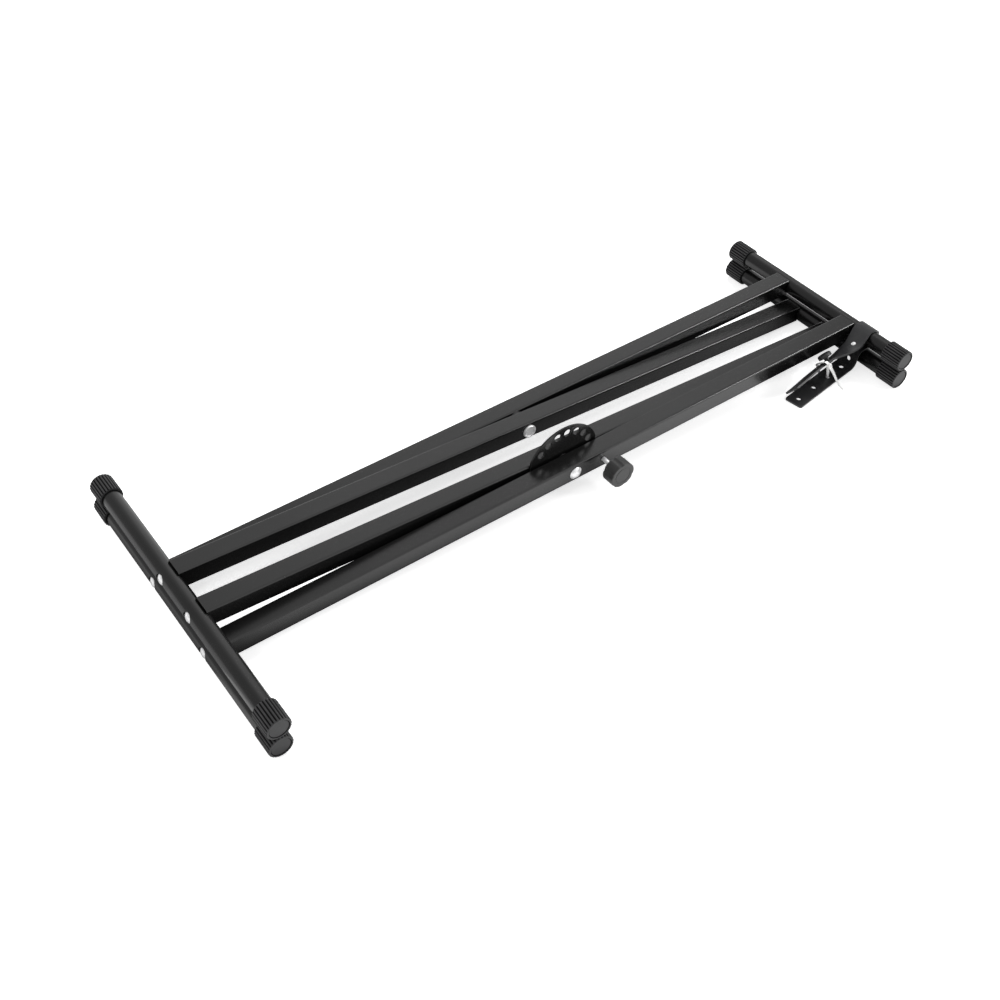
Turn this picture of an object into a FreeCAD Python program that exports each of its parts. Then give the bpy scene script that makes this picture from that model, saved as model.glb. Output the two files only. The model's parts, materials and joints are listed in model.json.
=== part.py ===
import FreeCAD
import Part
import math
import os

# X-frame keyboard stand with double bars, folded flat as it is stored, lying on its side caps.
# Frame of the part: millimetres, +Z up, +X from the foot tubes to the arm tubes, -Y to the front.
# The origin is the centre of the footprint, at floor height.

os.makedirs("parts", exist_ok=True)

overrun = 5.0                   # how far every cutting tool runs past what it cuts
running_fit = 0.05              # radial clearance of a shaft that turns or slides
seated_fit = 0.02               # radial clearance of a shaft that is fixed in its hole

# Square bars
bar_size = 25.0
bar_wall = 1.2
bar_corner = 2.5
foot_reach = 484.0              # pivot to foot tube axis
arm_reach = 490.0               # pivot to arm tube axis
inner_bar_y = 32.5              # centre plane of the inner bars
bar_gap = 3.0                   # free space between an inner and an outer bar
fold_gap = 0.4                  # least space between stacked caps when folded

# Round cross tubes
tube_radius = 11.5
tube_wall = 1.5
foot_span = 420.0               # over the caps
arm_span = 321.0                # over the caps
seat_depth = 4.7                # flat pressed into the tube where a bar meets it
seat_side_room = 0.5            # seat is this much wider than the bar on each side
pocket_depth = 3.8              # round dish pressed in for the screw head
pocket_radius = 8.4

# Ribbed end caps
cap_radius = 14.5               # to the flat top of a rib
cap_length = 30.0
cap_end_wall = 3.0
cap_ribs = 24
cap_rib_top = 1.0               # width of a rib's flat top
cap_groove_depth = 0.9
cap_edge_bevel = 1.5
cap_mouth_bevel = 0.5
cap_face_rim = 1.0              # raised rim round the sunk end face
cap_face_depth = 0.8

# Plugs and screws that hold the bars to the tubes
plug_length = 25.0
plug_clearance = 0.1
screw_head_radius = 7.0
screw_head_height = 4.4
screw_head_edge = 1.3           # straight part of the head below its dome
screw_shank_radius = 4.0
screw_shank_length = 40.0
screw_clearance = 0.3
socket_width = 5.0              # across the flats
socket_depth = 2.6

# Pivot rivets
rivet_radius = 5.0
rivet_head_radius = 8.5
rivet_head_height = 4.2
rivet_roll_radius = 9.0
rivet_roll_height = 3.2
rivet_crater_radius = 6.7
rivet_floor_radius = 6.3
rivet_floor_depth = 1.8
pivot_play = 0.15               # between the rolled end and the inner bar
washer_radius = 11.0
washer_play = 0.1               # between a washer and the inner frame

# Height disc
disc_radius = 53.2
disc_thickness = 2.0
disc_half_width = 50.0
disc_lower_edge = 11.0          # flat lower edge below the pivot
disc_lower_corner = 4.0
disc_hole_circle = 43.4
disc_hole_radius = 4.9
disc_hole_count = 7
disc_first_hole_angle = 28.5
disc_hole_step_angle = 19.4
disc_rivet_spacing = 40.0
disc_rivet_radius = 2.4
disc_rivet_head_radius = 4.2
disc_rivet_bulge_radius = 3.8
disc_rivet_bulge_height = 2.2
storage_hole_radius = 4.7

# Pull pin, in the plane of the outer front bar
pin_radius = 4.0
pin_tip_bevel = 0.8
pin_tip_retreat = 0.2           # tip stands this far inside the bar face when pulled
pin_travel = 8.0
pin_stop_room = 2.8             # retaining ring to the bar's wall when the pin is home
pin_ring_radius = 6.6
pin_ring_thickness = 1.5
stem_radius = 3.0
bush_radius = 5.0
bush_shoulder_radius = 7.5
bush_shoulder_length = 3.8
knob_gap = 19.2                 # bar face to knob
knob_radius = 17.5
knob_thickness = 17.6
knob_scallops = 6
knob_scallop_radius = 9.0
knob_scallop_depth = 0.9
knob_first_scallop_angle = 100.0
knob_edge_round = 1.2
knob_face_radius = 11.5
knob_face_depth = 0.5
knob_face_rim = 0.8
knob_stem_depth = 12.0

# Spring round the stem
spring_wire_radius = 0.5
spring_turns = 3
spring_radius_room = 0.7        # stem to wire
spring_end_room = 0.1

# Rubber strap round the upper arm tube
strap_width = 26.0
strap_thickness = 2.5
strap_tube_gap = 0.3
strap_bar_gap = 3.0
strap_floor_gap = 0.3
strap_tail_span = 144.3         # tube axis to the end that lies on the floor
strap_tail_drift = 17.2
strap_band_span = 140.8         # tube axis to the free upper end
strap_band_drift = 7.0
strap_band_drop = 42.3
strap_hole_radius = 3.25
strap_wrap_start_angle = -90.0
strap_wrap_end_angle = 118.0
strap_wrap_steps = 12
strap_twist_angle = 52.0

# Stations of the tail, from the tube axis out: share of the span, of the drift and of the height
tail_shares = [
    (0.060, 0.00, 1.000),
    (0.100, 0.00, 0.945),
    (0.125, 0.00, 0.830),
    (0.141, 0.00, 0.640),
    (0.148, 0.00, 0.420),
    (0.163, 0.00, 0.220),
    (0.194, 0.00, 0.105),
    (0.232, 0.00, 0.060),
    (0.310, 0.09, 0.045),
    (0.456, 0.28, 0.045),
    (0.676, 0.57, 0.030),
    (0.911, 0.88, 0.008),
    (1.000, 1.00, 0.000),
]
tail_hole_stations = (4, 7, 9, 10, 11)
tie_tail_count = 9              # stations between the tube and the tie's hole

# Stations of the upper band: share of the span, of the drift, of the drop and of the twist
band_shares = [
    (0.121, 0.43, 0.132, 0.10),
    (0.200, 0.86, 0.279, 0.25),
    (0.320, 0.70, 0.433, 0.58),
    (0.487, 0.21, 0.630, 0.96),
    (0.562, 0.17, 0.703, 1.00),
    (0.710, 0.29, 0.835, 1.00),
    (0.852, 0.64, 0.927, 1.00),
    (1.000, 1.00, 1.000, 1.00),
]
band_hole_stations = (1, 5)
stud_band_count = 3             # stations between the tube and the stud
tie_band_count = 4              # stations between the tube and the cable tie

# Stud on the strap
stud_head_radius = 9.5
stud_head_height = 5.5
stud_head_round = 2.0
stud_stem_radius = 3.4
stud_stem_length = 5.0
stud_foot_radius = 6.0
stud_foot_height = 1.6
stud_foot_room = 0.3            # foot to the twisted band

# Cable tie through the strap
tie_width = 4.8
tie_thickness = 1.2
tie_corner = 1.5
tie_floor_gap = 0.3
tie_far_room = 2.4              # beyond the far edges of the strap
tie_front_room = 3.6            # in front of the band's front edge
tie_top_room = 8.0              # above the band's front edge
tie_head_length = 6.5
tie_head_depth = 4.5
tie_tip_width = 1.6
tie_tail_reach = 20.0           # how far the cut end stands out to the front

# Stations of the tie's end: share of its reach and of its height
tie_tail_shares = [
    (0.00, 1.00),
    (0.10, 0.97),
    (0.24, 0.86),
    (0.40, 0.60),
    (0.58, 0.30),
    (0.78, 0.10),
    (1.00, 0.00),
]

edge_alignment_share = 0.5      # how nearly an edge must point along an axis to count as lying along it

# Places that follow from the sizes
outer_bar_y = inner_bar_y + bar_size + bar_gap
inner_face_y = inner_bar_y - bar_size / 2
disc_seat_y = inner_bar_y + bar_size / 2
outer_seat_y = outer_bar_y - bar_size / 2
outer_face_y = outer_bar_y + bar_size / 2
seat_reach = tube_radius - seat_depth
pocket_reach = tube_radius - pocket_depth

smaller_ratio = min(foot_reach / arm_reach, arm_reach / foot_reach)
axis_drop = (2 * cap_radius + fold_gap) / (1 + smaller_ratio)
inner_tilt = math.degrees(math.asin(axis_drop / arm_reach))
outer_tilt = -math.degrees(math.asin(axis_drop / foot_reach))
pivot_z = cap_radius + axis_drop
cos_inner = math.cos(math.radians(inner_tilt))
cos_outer = math.cos(math.radians(outer_tilt))
pivot_x = (foot_reach - arm_reach) * max(cos_inner, cos_outer) / 2
folded_angle = inner_tilt - outer_tilt
pivot = FreeCAD.Vector(pivot_x, 0, pivot_z)
up = FreeCAD.Vector(0, 0, 1)
back = FreeCAD.Vector(0, 1, 0)
right = FreeCAD.Vector(1, 0, 0)


def vector(x, y, z):
    return FreeCAD.Vector(x, y, z)


def save(name, shapes):
    shape = Part.makeCompound(shapes) if isinstance(shapes, list) else shapes
    shape.exportStep("parts/" + name + ".step")
    print(name, "volume", round(shape.Volume), "solids", len(shape.Solids), "valid", shape.isValid())


def place(shape, tilt):
    placed = shape.copy()
    placed.rotate(vector(0, 0, 0), back, tilt)
    placed.translate(pivot)
    return placed


def tube_centre(reach, tilt):
    # Axis of a cross tube at a signed reach along its tilted bars
    angle = math.radians(tilt)
    return vector(pivot_x + reach * math.cos(angle), 0, pivot_z - reach * math.sin(angle))


def rod_y(radius, y_from, y_to, x=0.0, z=0.0):
    return Part.makeCylinder(radius, y_to - y_from, vector(x, y_from, z), back)


def rod_x(radius, x_from, x_to, y=0.0, z=0.0):
    return Part.makeCylinder(radius, x_to - x_from, vector(x_from, y, z), right)


def block(x_from, x_to, y_from, y_to, z_from, z_to):
    return Part.makeBox(x_to - x_from, y_to - y_from, z_to - z_from, vector(x_from, y_from, z_from))


def rounded_prism(width, corner, x_from, x_to, y_centre):
    # Square section across X with rounded corners
    half = width / 2
    bar = block(x_from, x_to, y_centre - half, y_centre + half, -half, half)
    long_edges = [edge for edge in bar.Edges
                  if abs(edge.tangentAt(edge.FirstParameter).x) > edge_alignment_share]
    return bar.makeFillet(corner, long_edges)


def square_bar(y_centre):
    x_from = -(foot_reach - seat_reach)
    x_to = arm_reach - seat_reach
    outside = rounded_prism(bar_size, bar_corner, x_from, x_to, y_centre)
    hollow = rounded_prism(bar_size - 2 * bar_wall, bar_corner - bar_wall,
                           x_from - overrun, x_to + overrun, y_centre)
    return outside.cut(hollow)


def drilled(bar, radius, side, y_near, y_far, x=0.0, z=0.0):
    # A hole across the bar, between two distances from the middle plane, on the front or the back
    low = min(side * y_near, side * y_far)
    high = max(side * y_near, side * y_far)
    return bar.cut(rod_y(radius, low, high, x, z))


def cross_tube(span, bar_y, side):
    # Tube along Y with its axis at the origin; side is +1 where the bars lie at +X
    half = span / 2 - cap_end_wall
    outside = rod_y(tube_radius, -half, half)
    hollow = rod_y(tube_radius - tube_wall, -half - overrun, half + overrun)
    seat_half = bar_size / 2 + seat_side_room
    far = tube_radius + overrun
    for y in (-bar_y, bar_y):
        low, high = sorted((side * seat_reach, side * far))
        outside = outside.cut(block(low, high, y - seat_half, y + seat_half, -far, far))
        low, high = sorted((side * (seat_reach - tube_wall), side * far))
        wide = seat_half + tube_wall
        hollow = hollow.cut(block(low, high, y - wide, y + wide, -far, far))
        low, high = sorted((-side * pocket_reach, -side * far))
        outside = outside.cut(rod_x(pocket_radius, low, high, y))
        low, high = sorted((-side * (pocket_reach - tube_wall), -side * far))
        hollow = hollow.cut(rod_x(pocket_radius + tube_wall, low, high, y))
    tube = outside.cut(hollow)
    for y in (-bar_y, bar_y):
        tube = tube.cut(rod_x(screw_shank_radius + screw_clearance, -far, far, y))
    return tube


def ribbed_cap():
    # Cap on the +Y end of a tube: closed end at y = 0, mouth at y = -cap_length
    step = 2 * math.pi / cap_ribs
    corner_radius = cap_radius / math.cos(step / 2)
    corners = []
    for index in range(cap_ribs + 1):
        angle = (index + 0.5) * step
        corners.append(vector(corner_radius * math.cos(angle), -cap_length, corner_radius * math.sin(angle)))
    body = Part.Face(Part.makePolygon(corners)).extrude(vector(0, cap_length, 0))
    groove_half = cap_radius * math.tan(step / 2) - cap_rib_top / 2
    groove_radius = (groove_half ** 2 + cap_groove_depth ** 2) / (2 * cap_groove_depth)
    groove_axis = cap_radius - cap_groove_depth + groove_radius
    grooves = []
    for index in range(cap_ribs):
        angle = (index + 0.5) * step
        x = groove_axis * math.cos(angle)
        z = groove_axis * math.sin(angle)
        grooves.append(rod_y(groove_radius, -cap_length - overrun, overrun, x, z))
    body = body.cut(Part.makeCompound(grooves))
    face_radius = cap_radius - cap_edge_bevel
    wide = cap_radius + overrun
    cone_height = wide - face_radius
    envelope = Part.makeCone(wide, face_radius, cone_height, vector(0, -cone_height, 0), back)
    envelope = envelope.fuse(rod_y(wide, -cap_length - overrun, -cone_height))
    body = body.common(envelope)
    bore = rod_y(tube_radius + seated_fit, -cap_length - overrun, -cap_end_wall)
    mouth_radius = tube_radius + seated_fit + cap_mouth_bevel
    mouth = Part.makeCone(mouth_radius, tube_radius + seated_fit, cap_mouth_bevel,
                          vector(0, -cap_length, 0), back)
    sunk_face = rod_y(face_radius - cap_face_rim, -cap_face_depth, overrun)
    return body.cut(bore).cut(mouth).cut(sunk_face)


def save_caps(name, span, centre):
    # A rib points straight down, so the folded stand rests on flat rib tops
    for place_name, side in (("front", -1), ("back", 1)):
        cap = ribbed_cap()
        if side < 0:
            cap.rotate(vector(0, 0, 0), up, 180)
        cap.translate(vector(centre.x, side * span / 2, centre.z))
        save(name + "_cap_" + place_name, cap)


def bar_plugs(bar_y):
    plugs = []
    width = bar_size - 2 * bar_wall - 2 * plug_clearance
    corner = bar_corner - bar_wall
    ends = ((-(foot_reach - seat_reach), 1), (arm_reach - seat_reach, -1))
    for y in (-bar_y, bar_y):
        for end, inward in ends:
            low, high = sorted((end, end + inward * plug_length))
            plug = rounded_prism(width, corner, low, high, y)
            plugs.append(plug.cut(rod_x(screw_shank_radius + seated_fit, low - overrun, high + overrun, y)))
    return plugs


def button_screw():
    # Head seat at the origin, shank along +X
    dome_height = screw_head_height - screw_head_edge
    rise = -screw_head_height
    dome = (screw_head_radius ** 2 + dome_height ** 2) / (2 * dome_height)
    half_angle = math.asin(screw_head_radius / dome) / 2
    middle = vector(rise + dome - dome * math.cos(half_angle), 0, dome * math.sin(half_angle))
    top = vector(rise, 0, 0)
    rim = vector(-screw_head_edge, 0, screw_head_radius)
    seat = vector(0, 0, screw_head_radius)
    neck = vector(0, 0, screw_shank_radius)
    tip_rim = vector(screw_shank_length, 0, screw_shank_radius)
    tip = vector(screw_shank_length, 0, 0)
    edges = [Part.Arc(top, middle, rim).toShape(), Part.makeLine(rim, seat), Part.makeLine(seat, neck)]
    edges += [Part.makeLine(neck, tip_rim), Part.makeLine(tip_rim, tip), Part.makeLine(tip, top)]
    screw = Part.Face(Part.Wire(edges)).revolve(vector(0, 0, 0), right, 360)
    socket_corner = socket_width / 2 / math.cos(math.pi / 6)
    corners = []
    for index in range(7):
        angle = index * math.pi / 3
        corners.append(vector(rise - overrun, socket_corner * math.cos(angle), socket_corner * math.sin(angle)))
    socket = Part.Face(Part.makePolygon(corners)).extrude(vector(overrun + socket_depth, 0, 0))
    return screw.cut(socket)


def tube_screws(bar_y):
    screws = []
    for y in (-bar_y, bar_y):
        foot = button_screw()
        foot.translate(vector(-foot_reach - pocket_reach, y, 0))
        screws.append(foot)
        arm = button_screw()
        arm.rotate(vector(0, 0, 0), up, 180)
        arm.translate(vector(arm_reach + pocket_reach, y, 0))
        screws.append(arm)
    return screws


def pivot_rivet(side):
    # Domed head outside, rolled tubular end inside
    head_y = outer_face_y
    roll_y = inner_face_y - pivot_play
    roll_end = roll_y - rivet_roll_height
    dome = (rivet_head_radius ** 2 + rivet_head_height ** 2) / (2 * rivet_head_height)
    half_angle = math.asin(rivet_head_radius / dome) / 2
    dome_centre = head_y + rivet_head_height - dome
    top = vector(0, head_y + rivet_head_height, 0)
    middle = vector(dome * math.sin(half_angle), dome_centre + dome * math.cos(half_angle), 0)
    roll_middle = (rivet_roll_radius + rivet_crater_radius) / 2
    outline = [
        vector(rivet_head_radius, head_y, 0),
        vector(rivet_radius, head_y, 0),
        vector(rivet_radius, roll_y, 0),
        vector(rivet_roll_radius, roll_y, 0),
    ]
    roll_rim = vector(rivet_roll_radius, roll_y - rivet_roll_height / 2, 0)
    roll_top = vector(roll_middle, roll_end, 0)
    crater = vector(rivet_crater_radius, roll_end + rivet_roll_height / 3, 0)
    roll_bend = vector((rivet_roll_radius + roll_middle) / 2, roll_end + rivet_roll_height / 8, 0)
    inner_bend = vector((rivet_crater_radius + roll_middle) / 2, roll_end + rivet_roll_height / 16, 0)
    floor_edge = vector(rivet_floor_radius, roll_end + rivet_floor_depth, 0)
    floor_centre = vector(0, roll_end + rivet_floor_depth, 0)
    edges = [Part.Arc(top, middle, outline[0]).toShape()]
    for start, end in zip(outline[:-1], outline[1:]):
        edges.append(Part.makeLine(start, end))
    edges.append(Part.makeLine(outline[-1], roll_rim))
    edges.append(Part.Arc(roll_rim, roll_bend, roll_top).toShape())
    edges.append(Part.Arc(roll_top, inner_bend, crater).toShape())
    corners = [crater, floor_edge, floor_centre, top]
    for start, end in zip(corners[:-1], corners[1:]):
        edges.append(Part.makeLine(start, end))
    rivet = Part.Face(Part.Wire(edges)).revolve(vector(0, 0, 0), back, 360)
    if side < 0:
        rivet.rotate(vector(0, 0, 0), up, 180)
    return rivet


def washer(y_near, y_far, side):
    low, high = sorted((side * y_near, side * y_far))
    ring = rod_y(washer_radius, low, high)
    return ring.cut(rod_y(rivet_radius + seated_fit, low - overrun, high + overrun))


def disc_hole_places():
    angles = [disc_first_hole_angle + index * disc_hole_step_angle for index in range(disc_hole_count)]
    angles.append(folded_angle)
    places = []
    for angle in angles:
        turn = math.radians(angle)
        places.append((disc_hole_circle * math.cos(turn), disc_hole_circle * math.sin(turn)))
    return places


def height_disc():
    low = -disc_seat_y - disc_thickness
    plate = rod_y(disc_radius, low, -disc_seat_y)
    cutter = block(-disc_half_width, disc_half_width, low, -disc_seat_y,
                   -disc_lower_edge, disc_radius + overrun)
    lower_edges = []
    for edge in cutter.Edges:
        along = edge.tangentAt(edge.FirstParameter)
        if abs(along.y) > edge_alignment_share and edge.CenterOfMass.z < 0:
            lower_edges.append(edge)
    plate = plate.common(cutter.makeFillet(disc_lower_corner, lower_edges))
    y_from = low - overrun
    y_to = -disc_seat_y + overrun
    for x, z in disc_hole_places():
        plate = plate.cut(rod_y(disc_hole_radius, y_from, y_to, x, z))
    plate = plate.cut(rod_y(rivet_radius + running_fit, y_from, y_to))
    for x in (-disc_rivet_spacing / 2, disc_rivet_spacing / 2):
        plate = plate.cut(rod_y(disc_rivet_radius + seated_fit, y_from, y_to, x))
        sunk = Part.makeCone(disc_rivet_head_radius + seated_fit, disc_rivet_radius + seated_fit,
                             disc_thickness, vector(x, low, 0), back)
        plate = plate.cut(sunk)
    return plate


def disc_rivets():
    rivets = []
    low = -disc_seat_y - disc_thickness
    inside = -disc_seat_y + bar_wall
    for x in (-disc_rivet_spacing / 2, disc_rivet_spacing / 2):
        head = Part.makeCone(disc_rivet_head_radius, disc_rivet_radius, disc_thickness, vector(x, low, 0), back)
        shank = rod_y(disc_rivet_radius, low + disc_thickness / 2, inside + disc_rivet_bulge_height / 2, x)
        bulge = Part.makeCone(disc_rivet_bulge_radius, disc_rivet_radius, disc_rivet_bulge_height,
                              vector(x, inside, 0), back)
        rivets.append(head.fuse([shank, bulge]))
    return rivets


def pin_places():
    # Tip, ring and bush of the pull pin along Y, with the pin pulled clear of the disc
    tip = -outer_seat_y - pin_tip_retreat
    ring = -outer_seat_y - bar_wall - pin_stop_room - pin_travel
    bush_end = -outer_face_y + bar_wall + bush_shoulder_length
    return tip, ring, bush_end


def pull_pin():
    tip, ring, bush_end = pin_places()
    pin = rod_y(pin_radius, ring, tip - pin_tip_bevel, disc_hole_circle)
    point = Part.makeCone(pin_radius, pin_radius - pin_tip_bevel, pin_tip_bevel,
                          vector(disc_hole_circle, tip - pin_tip_bevel, 0), back)
    stem = rod_y(stem_radius, -outer_face_y - knob_gap - knob_stem_depth, ring, disc_hole_circle)
    return pin.fuse([point, stem])


def pin_retaining_ring():
    tip, ring, bush_end = pin_places()
    clip = rod_y(pin_ring_radius, ring - pin_ring_thickness, ring, disc_hole_circle)
    return clip.cut(rod_y(stem_radius + seated_fit, ring - overrun, ring + overrun, disc_hole_circle))


def pin_guide_bush():
    tip, ring, bush_end = pin_places()
    wall_inside = -outer_face_y + bar_wall
    bush = rod_y(bush_radius, -outer_face_y, wall_inside, disc_hole_circle)
    bush = bush.fuse(rod_y(bush_shoulder_radius, wall_inside, bush_end, disc_hole_circle))
    bore = rod_y(stem_radius + running_fit, -outer_face_y - overrun, bush_end + overrun, disc_hole_circle)
    return bush.cut(bore)


def pin_spring():
    # Wound wire between the bush and the retaining ring, pressed together while the pin is pulled
    tip, ring, bush_end = pin_places()
    centre_radius = stem_radius + spring_radius_room + spring_wire_radius
    start = bush_end + spring_wire_radius + spring_end_room
    end = ring - pin_ring_thickness - spring_wire_radius - spring_end_room
    pitch = (end - start) / spring_turns
    print("spring coil gap", round(pitch - 2 * spring_wire_radius, 2))
    helix = Part.makeHelix(pitch, end - start, centre_radius)
    section = Part.Wire(Part.makeCircle(spring_wire_radius, vector(centre_radius, 0, 0), back))
    coil = Part.Wire(helix.Edges).makePipeShell([section], True, True)
    coil.rotate(vector(0, 0, 0), right, -90)
    coil.translate(vector(disc_hole_circle, start, 0))
    return coil


def pin_knob():
    inner = -outer_face_y - knob_gap
    outer = inner - knob_thickness
    knob = rod_y(knob_radius, outer, inner, disc_hole_circle)
    knob = knob.makeFillet(knob_edge_round, [edge for edge in knob.Edges if edge.Closed])
    scallop_axis = knob_radius - knob_scallop_depth + knob_scallop_radius
    for index in range(knob_scallops):
        angle = math.radians(knob_first_scallop_angle + index * 360 / knob_scallops)
        x = disc_hole_circle + scallop_axis * math.cos(angle)
        z = scallop_axis * math.sin(angle)
        knob = knob.cut(rod_y(knob_scallop_radius, outer - overrun, inner + overrun, x, z))
    ring = rod_y(knob_face_radius, outer - overrun, outer + knob_face_depth, disc_hole_circle)
    ring_inside = knob_face_radius - knob_face_rim
    ring = ring.cut(rod_y(ring_inside, outer - 2 * overrun, outer + overrun, disc_hole_circle))
    knob = knob.cut(ring)
    return knob.cut(rod_y(stem_radius + seated_fit, inner - knob_stem_depth, inner + overrun, disc_hole_circle))


def ribbon_frame(centres, acrosses, index):
    # Unit vectors along, across and out of a ribbon at one of its stations
    before = centres[max(index - 1, 0)]
    after = centres[min(index + 1, len(centres) - 1)]
    along = (after - before).normalize()
    across = acrosses[index] - along * acrosses[index].dot(along)
    across.normalize()
    return along, across, along.cross(across)


def ribbon(centres, acrosses, widths, thickness):
    sections = []
    for index, centre in enumerate(centres):
        along, across, out = ribbon_frame(centres, acrosses, index)
        wide = across * (widths[index] / 2)
        thick = out * (thickness / 2)
        corners = [centre - wide - thick, centre + wide - thick, centre + wide + thick, centre - wide + thick]
        sections.append(Part.makePolygon(corners + corners[:1]))
    return Part.makeLoft(sections, True, True)


def strap_route():
    # Centre line from the free upper end, round the tube and down to the tail on the floor
    tube = tube_centre(arm_reach, outer_tilt)
    wrap_radius = tube_radius + strap_tube_gap + strap_thickness / 2
    centre_y = -(outer_face_y + strap_bar_gap + strap_width / 2)
    lying = strap_floor_gap + strap_thickness / 2
    end_angle = math.radians(strap_wrap_end_angle)
    band_top = tube.z + wrap_radius * math.sin(end_angle)
    centres = []
    acrosses = []
    for along, side, drop, twist in reversed(band_shares):
        x = tube.x - along * strap_band_span
        y = centre_y - side * strap_band_drift
        centres.append(vector(x, y, band_top - drop * strap_band_drop))
        angle = math.radians(twist * strap_twist_angle)
        acrosses.append(vector(0, math.cos(angle), -math.sin(angle)))
    for index in range(strap_wrap_steps + 1):
        share = 1 - index / strap_wrap_steps
        angle = math.radians(strap_wrap_start_angle + share * (strap_wrap_end_angle - strap_wrap_start_angle))
        x = tube.x + wrap_radius * math.cos(angle)
        centres.append(vector(x, centre_y, tube.z + wrap_radius * math.sin(angle)))
        acrosses.append(back)
    for along, side, height in tail_shares:
        x = tube.x - along * strap_tail_span
        y = centre_y - side * strap_tail_drift
        centres.append(vector(x, y, lying + height * (tube.z - wrap_radius - lying)))
        acrosses.append(back)
    return centres, acrosses


def band_index(station):
    return len(band_shares) - 1 - station


def tail_index(station):
    return len(band_shares) + strap_wrap_steps + 1 + station


def strap():
    centres, acrosses = strap_route()
    body = ribbon(centres, acrosses, [strap_width] * len(centres), strap_thickness)
    indexes = [band_index(station) for station in band_hole_stations]
    indexes += [tail_index(station) for station in tail_hole_stations]
    for index in indexes:
        out = ribbon_frame(centres, acrosses, index)[2]
        start = centres[index] - out * overrun
        body = body.cut(Part.makeCylinder(strap_hole_radius, 2 * overrun, start, out))
    stud_index = band_index(stud_band_count)
    out = ribbon_frame(centres, acrosses, stud_index)[2]
    start = centres[stud_index] - out * overrun
    return body.cut(Part.makeCylinder(stud_stem_radius + seated_fit, 2 * overrun, start, out))


def strap_stud():
    # Snap stud through the upper band, with its head on the side away from the floor
    centres, acrosses = strap_route()
    index = band_index(stud_band_count)
    out = ribbon_frame(centres, acrosses, index)[2]
    if out.z < 0:
        out = out * -1
    base = centres[index] - out * (strap_thickness / 2 + stud_foot_room + stud_foot_height)
    foot = Part.makeCylinder(stud_foot_radius, stud_foot_height, base, out)
    length = stud_foot_height + stud_foot_room + strap_thickness + stud_stem_length
    stem = Part.makeCylinder(stud_stem_radius, length, base, out)
    head = Part.makeCylinder(stud_head_radius, stud_head_height, base + out * length, out)
    rims = [edge for edge in head.Edges if edge.Closed and edge.CenterOfMass.sub(base).dot(out) > length]
    rims = sorted(rims, key=lambda edge: edge.CenterOfMass.sub(base).dot(out))
    head = head.makeFillet(stud_head_round, [rims[-1]])
    return foot.fuse([stem, head])


def closed_loop(corners, radius, x):
    # Rounded outline in a plane across X through (y, z) corners
    points = [vector(x, y, z) for y, z in corners]
    edges = []
    starts = []
    ends = []
    count = len(points)
    for index, point in enumerate(points):
        to_before = (points[index - 1] - point).normalize()
        to_after = (points[(index + 1) % count] - point).normalize()
        half_angle = to_before.getAngle(to_after) / 2
        cut_back = radius / math.tan(half_angle)
        bisector = (to_before + to_after).normalize()
        arc_centre = point + bisector * (radius / math.sin(half_angle))
        start = point + to_before * cut_back
        end = point + to_after * cut_back
        starts.append(start)
        ends.append(end)
        edges.append(Part.Arc(start, arc_centre - bisector * radius, end).toShape())
    for index in range(count):
        edges.append(Part.makeLine(ends[index], starts[(index + 1) % count]))
    return Part.Wire(Part.__sortEdges__(edges))


def cable_tie():
    # Loop through a hole of the tail and over the upper band, with its head at the band's front edge
    centres, acrosses = strap_route()
    index = band_index(tie_band_count)
    across = ribbon_frame(centres, acrosses, index)[1]
    front_edge = centres[index] - across * (strap_width / 2)
    far_edge = centres[index] + across * (strap_width / 2)
    tail_place = centres[tail_index(tie_tail_count)]
    lean = math.atan2(tail_place.x - front_edge.x, front_edge.z - tail_place.z)
    low = tail_place.z - (tail_place.z - tie_floor_gap - tie_thickness) / math.cos(lean)
    front_rise = tail_place.z + (front_edge.z - tail_place.z) / math.cos(lean)
    far_rise = tail_place.z + (far_edge.z - tail_place.z) / math.cos(lean)
    front = front_edge.y - tie_front_room
    top = front_rise + tie_top_room
    far = max(tail_place.y + strap_width / 2, far_edge.y) + tie_far_room
    near = tail_place.y + tie_thickness / 2
    corners = [(near, low), (front, top), (far, far_rise + tie_far_room), (far, low)]
    inside = Part.Face(closed_loop(corners, tie_corner, tail_place.x - tie_width / 2))
    band = inside.makeOffset2D(tie_thickness).cut(inside)
    hinge = tail_place - right * (tie_width / 2)
    band.rotate(hinge, back, -math.degrees(lean))
    loop = band.extrude(vector(tie_width, 0, 0))
    head_top = front_rise + tie_thickness
    head_low = head_top - tie_head_length
    exit_z = (head_low + head_top) / 2
    strip_y = tail_place.y + (front - tail_place.y) * (exit_z - low) / (top - low)
    head_half = tie_width / 2 + tie_thickness
    head = block(tail_place.x - head_half, tail_place.x + head_half, strip_y - tie_head_depth,
                 strip_y - tie_thickness / 2, head_low, head_top)
    head.rotate(tail_place, back, -math.degrees(lean))
    exit_rise = (exit_z - tail_place.z) * math.cos(lean)
    exit_run = (exit_z - tail_place.z) * math.sin(lean)
    tip_low = tie_floor_gap + tie_thickness / 2
    end_centres = []
    widths = []
    for reach, height in tie_tail_shares:
        x = tail_place.x - height * exit_run
        y = strip_y - tie_head_depth / 2 - reach * tie_tail_reach
        end_centres.append(vector(x, y, tip_low + height * (tail_place.z + exit_rise - tip_low)))
        widths.append(tie_width - reach * (tie_width - tie_tip_width))
    end = ribbon(end_centres, [right] * len(end_centres), widths, tie_thickness)
    return loop.fuse([head, end])


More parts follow.
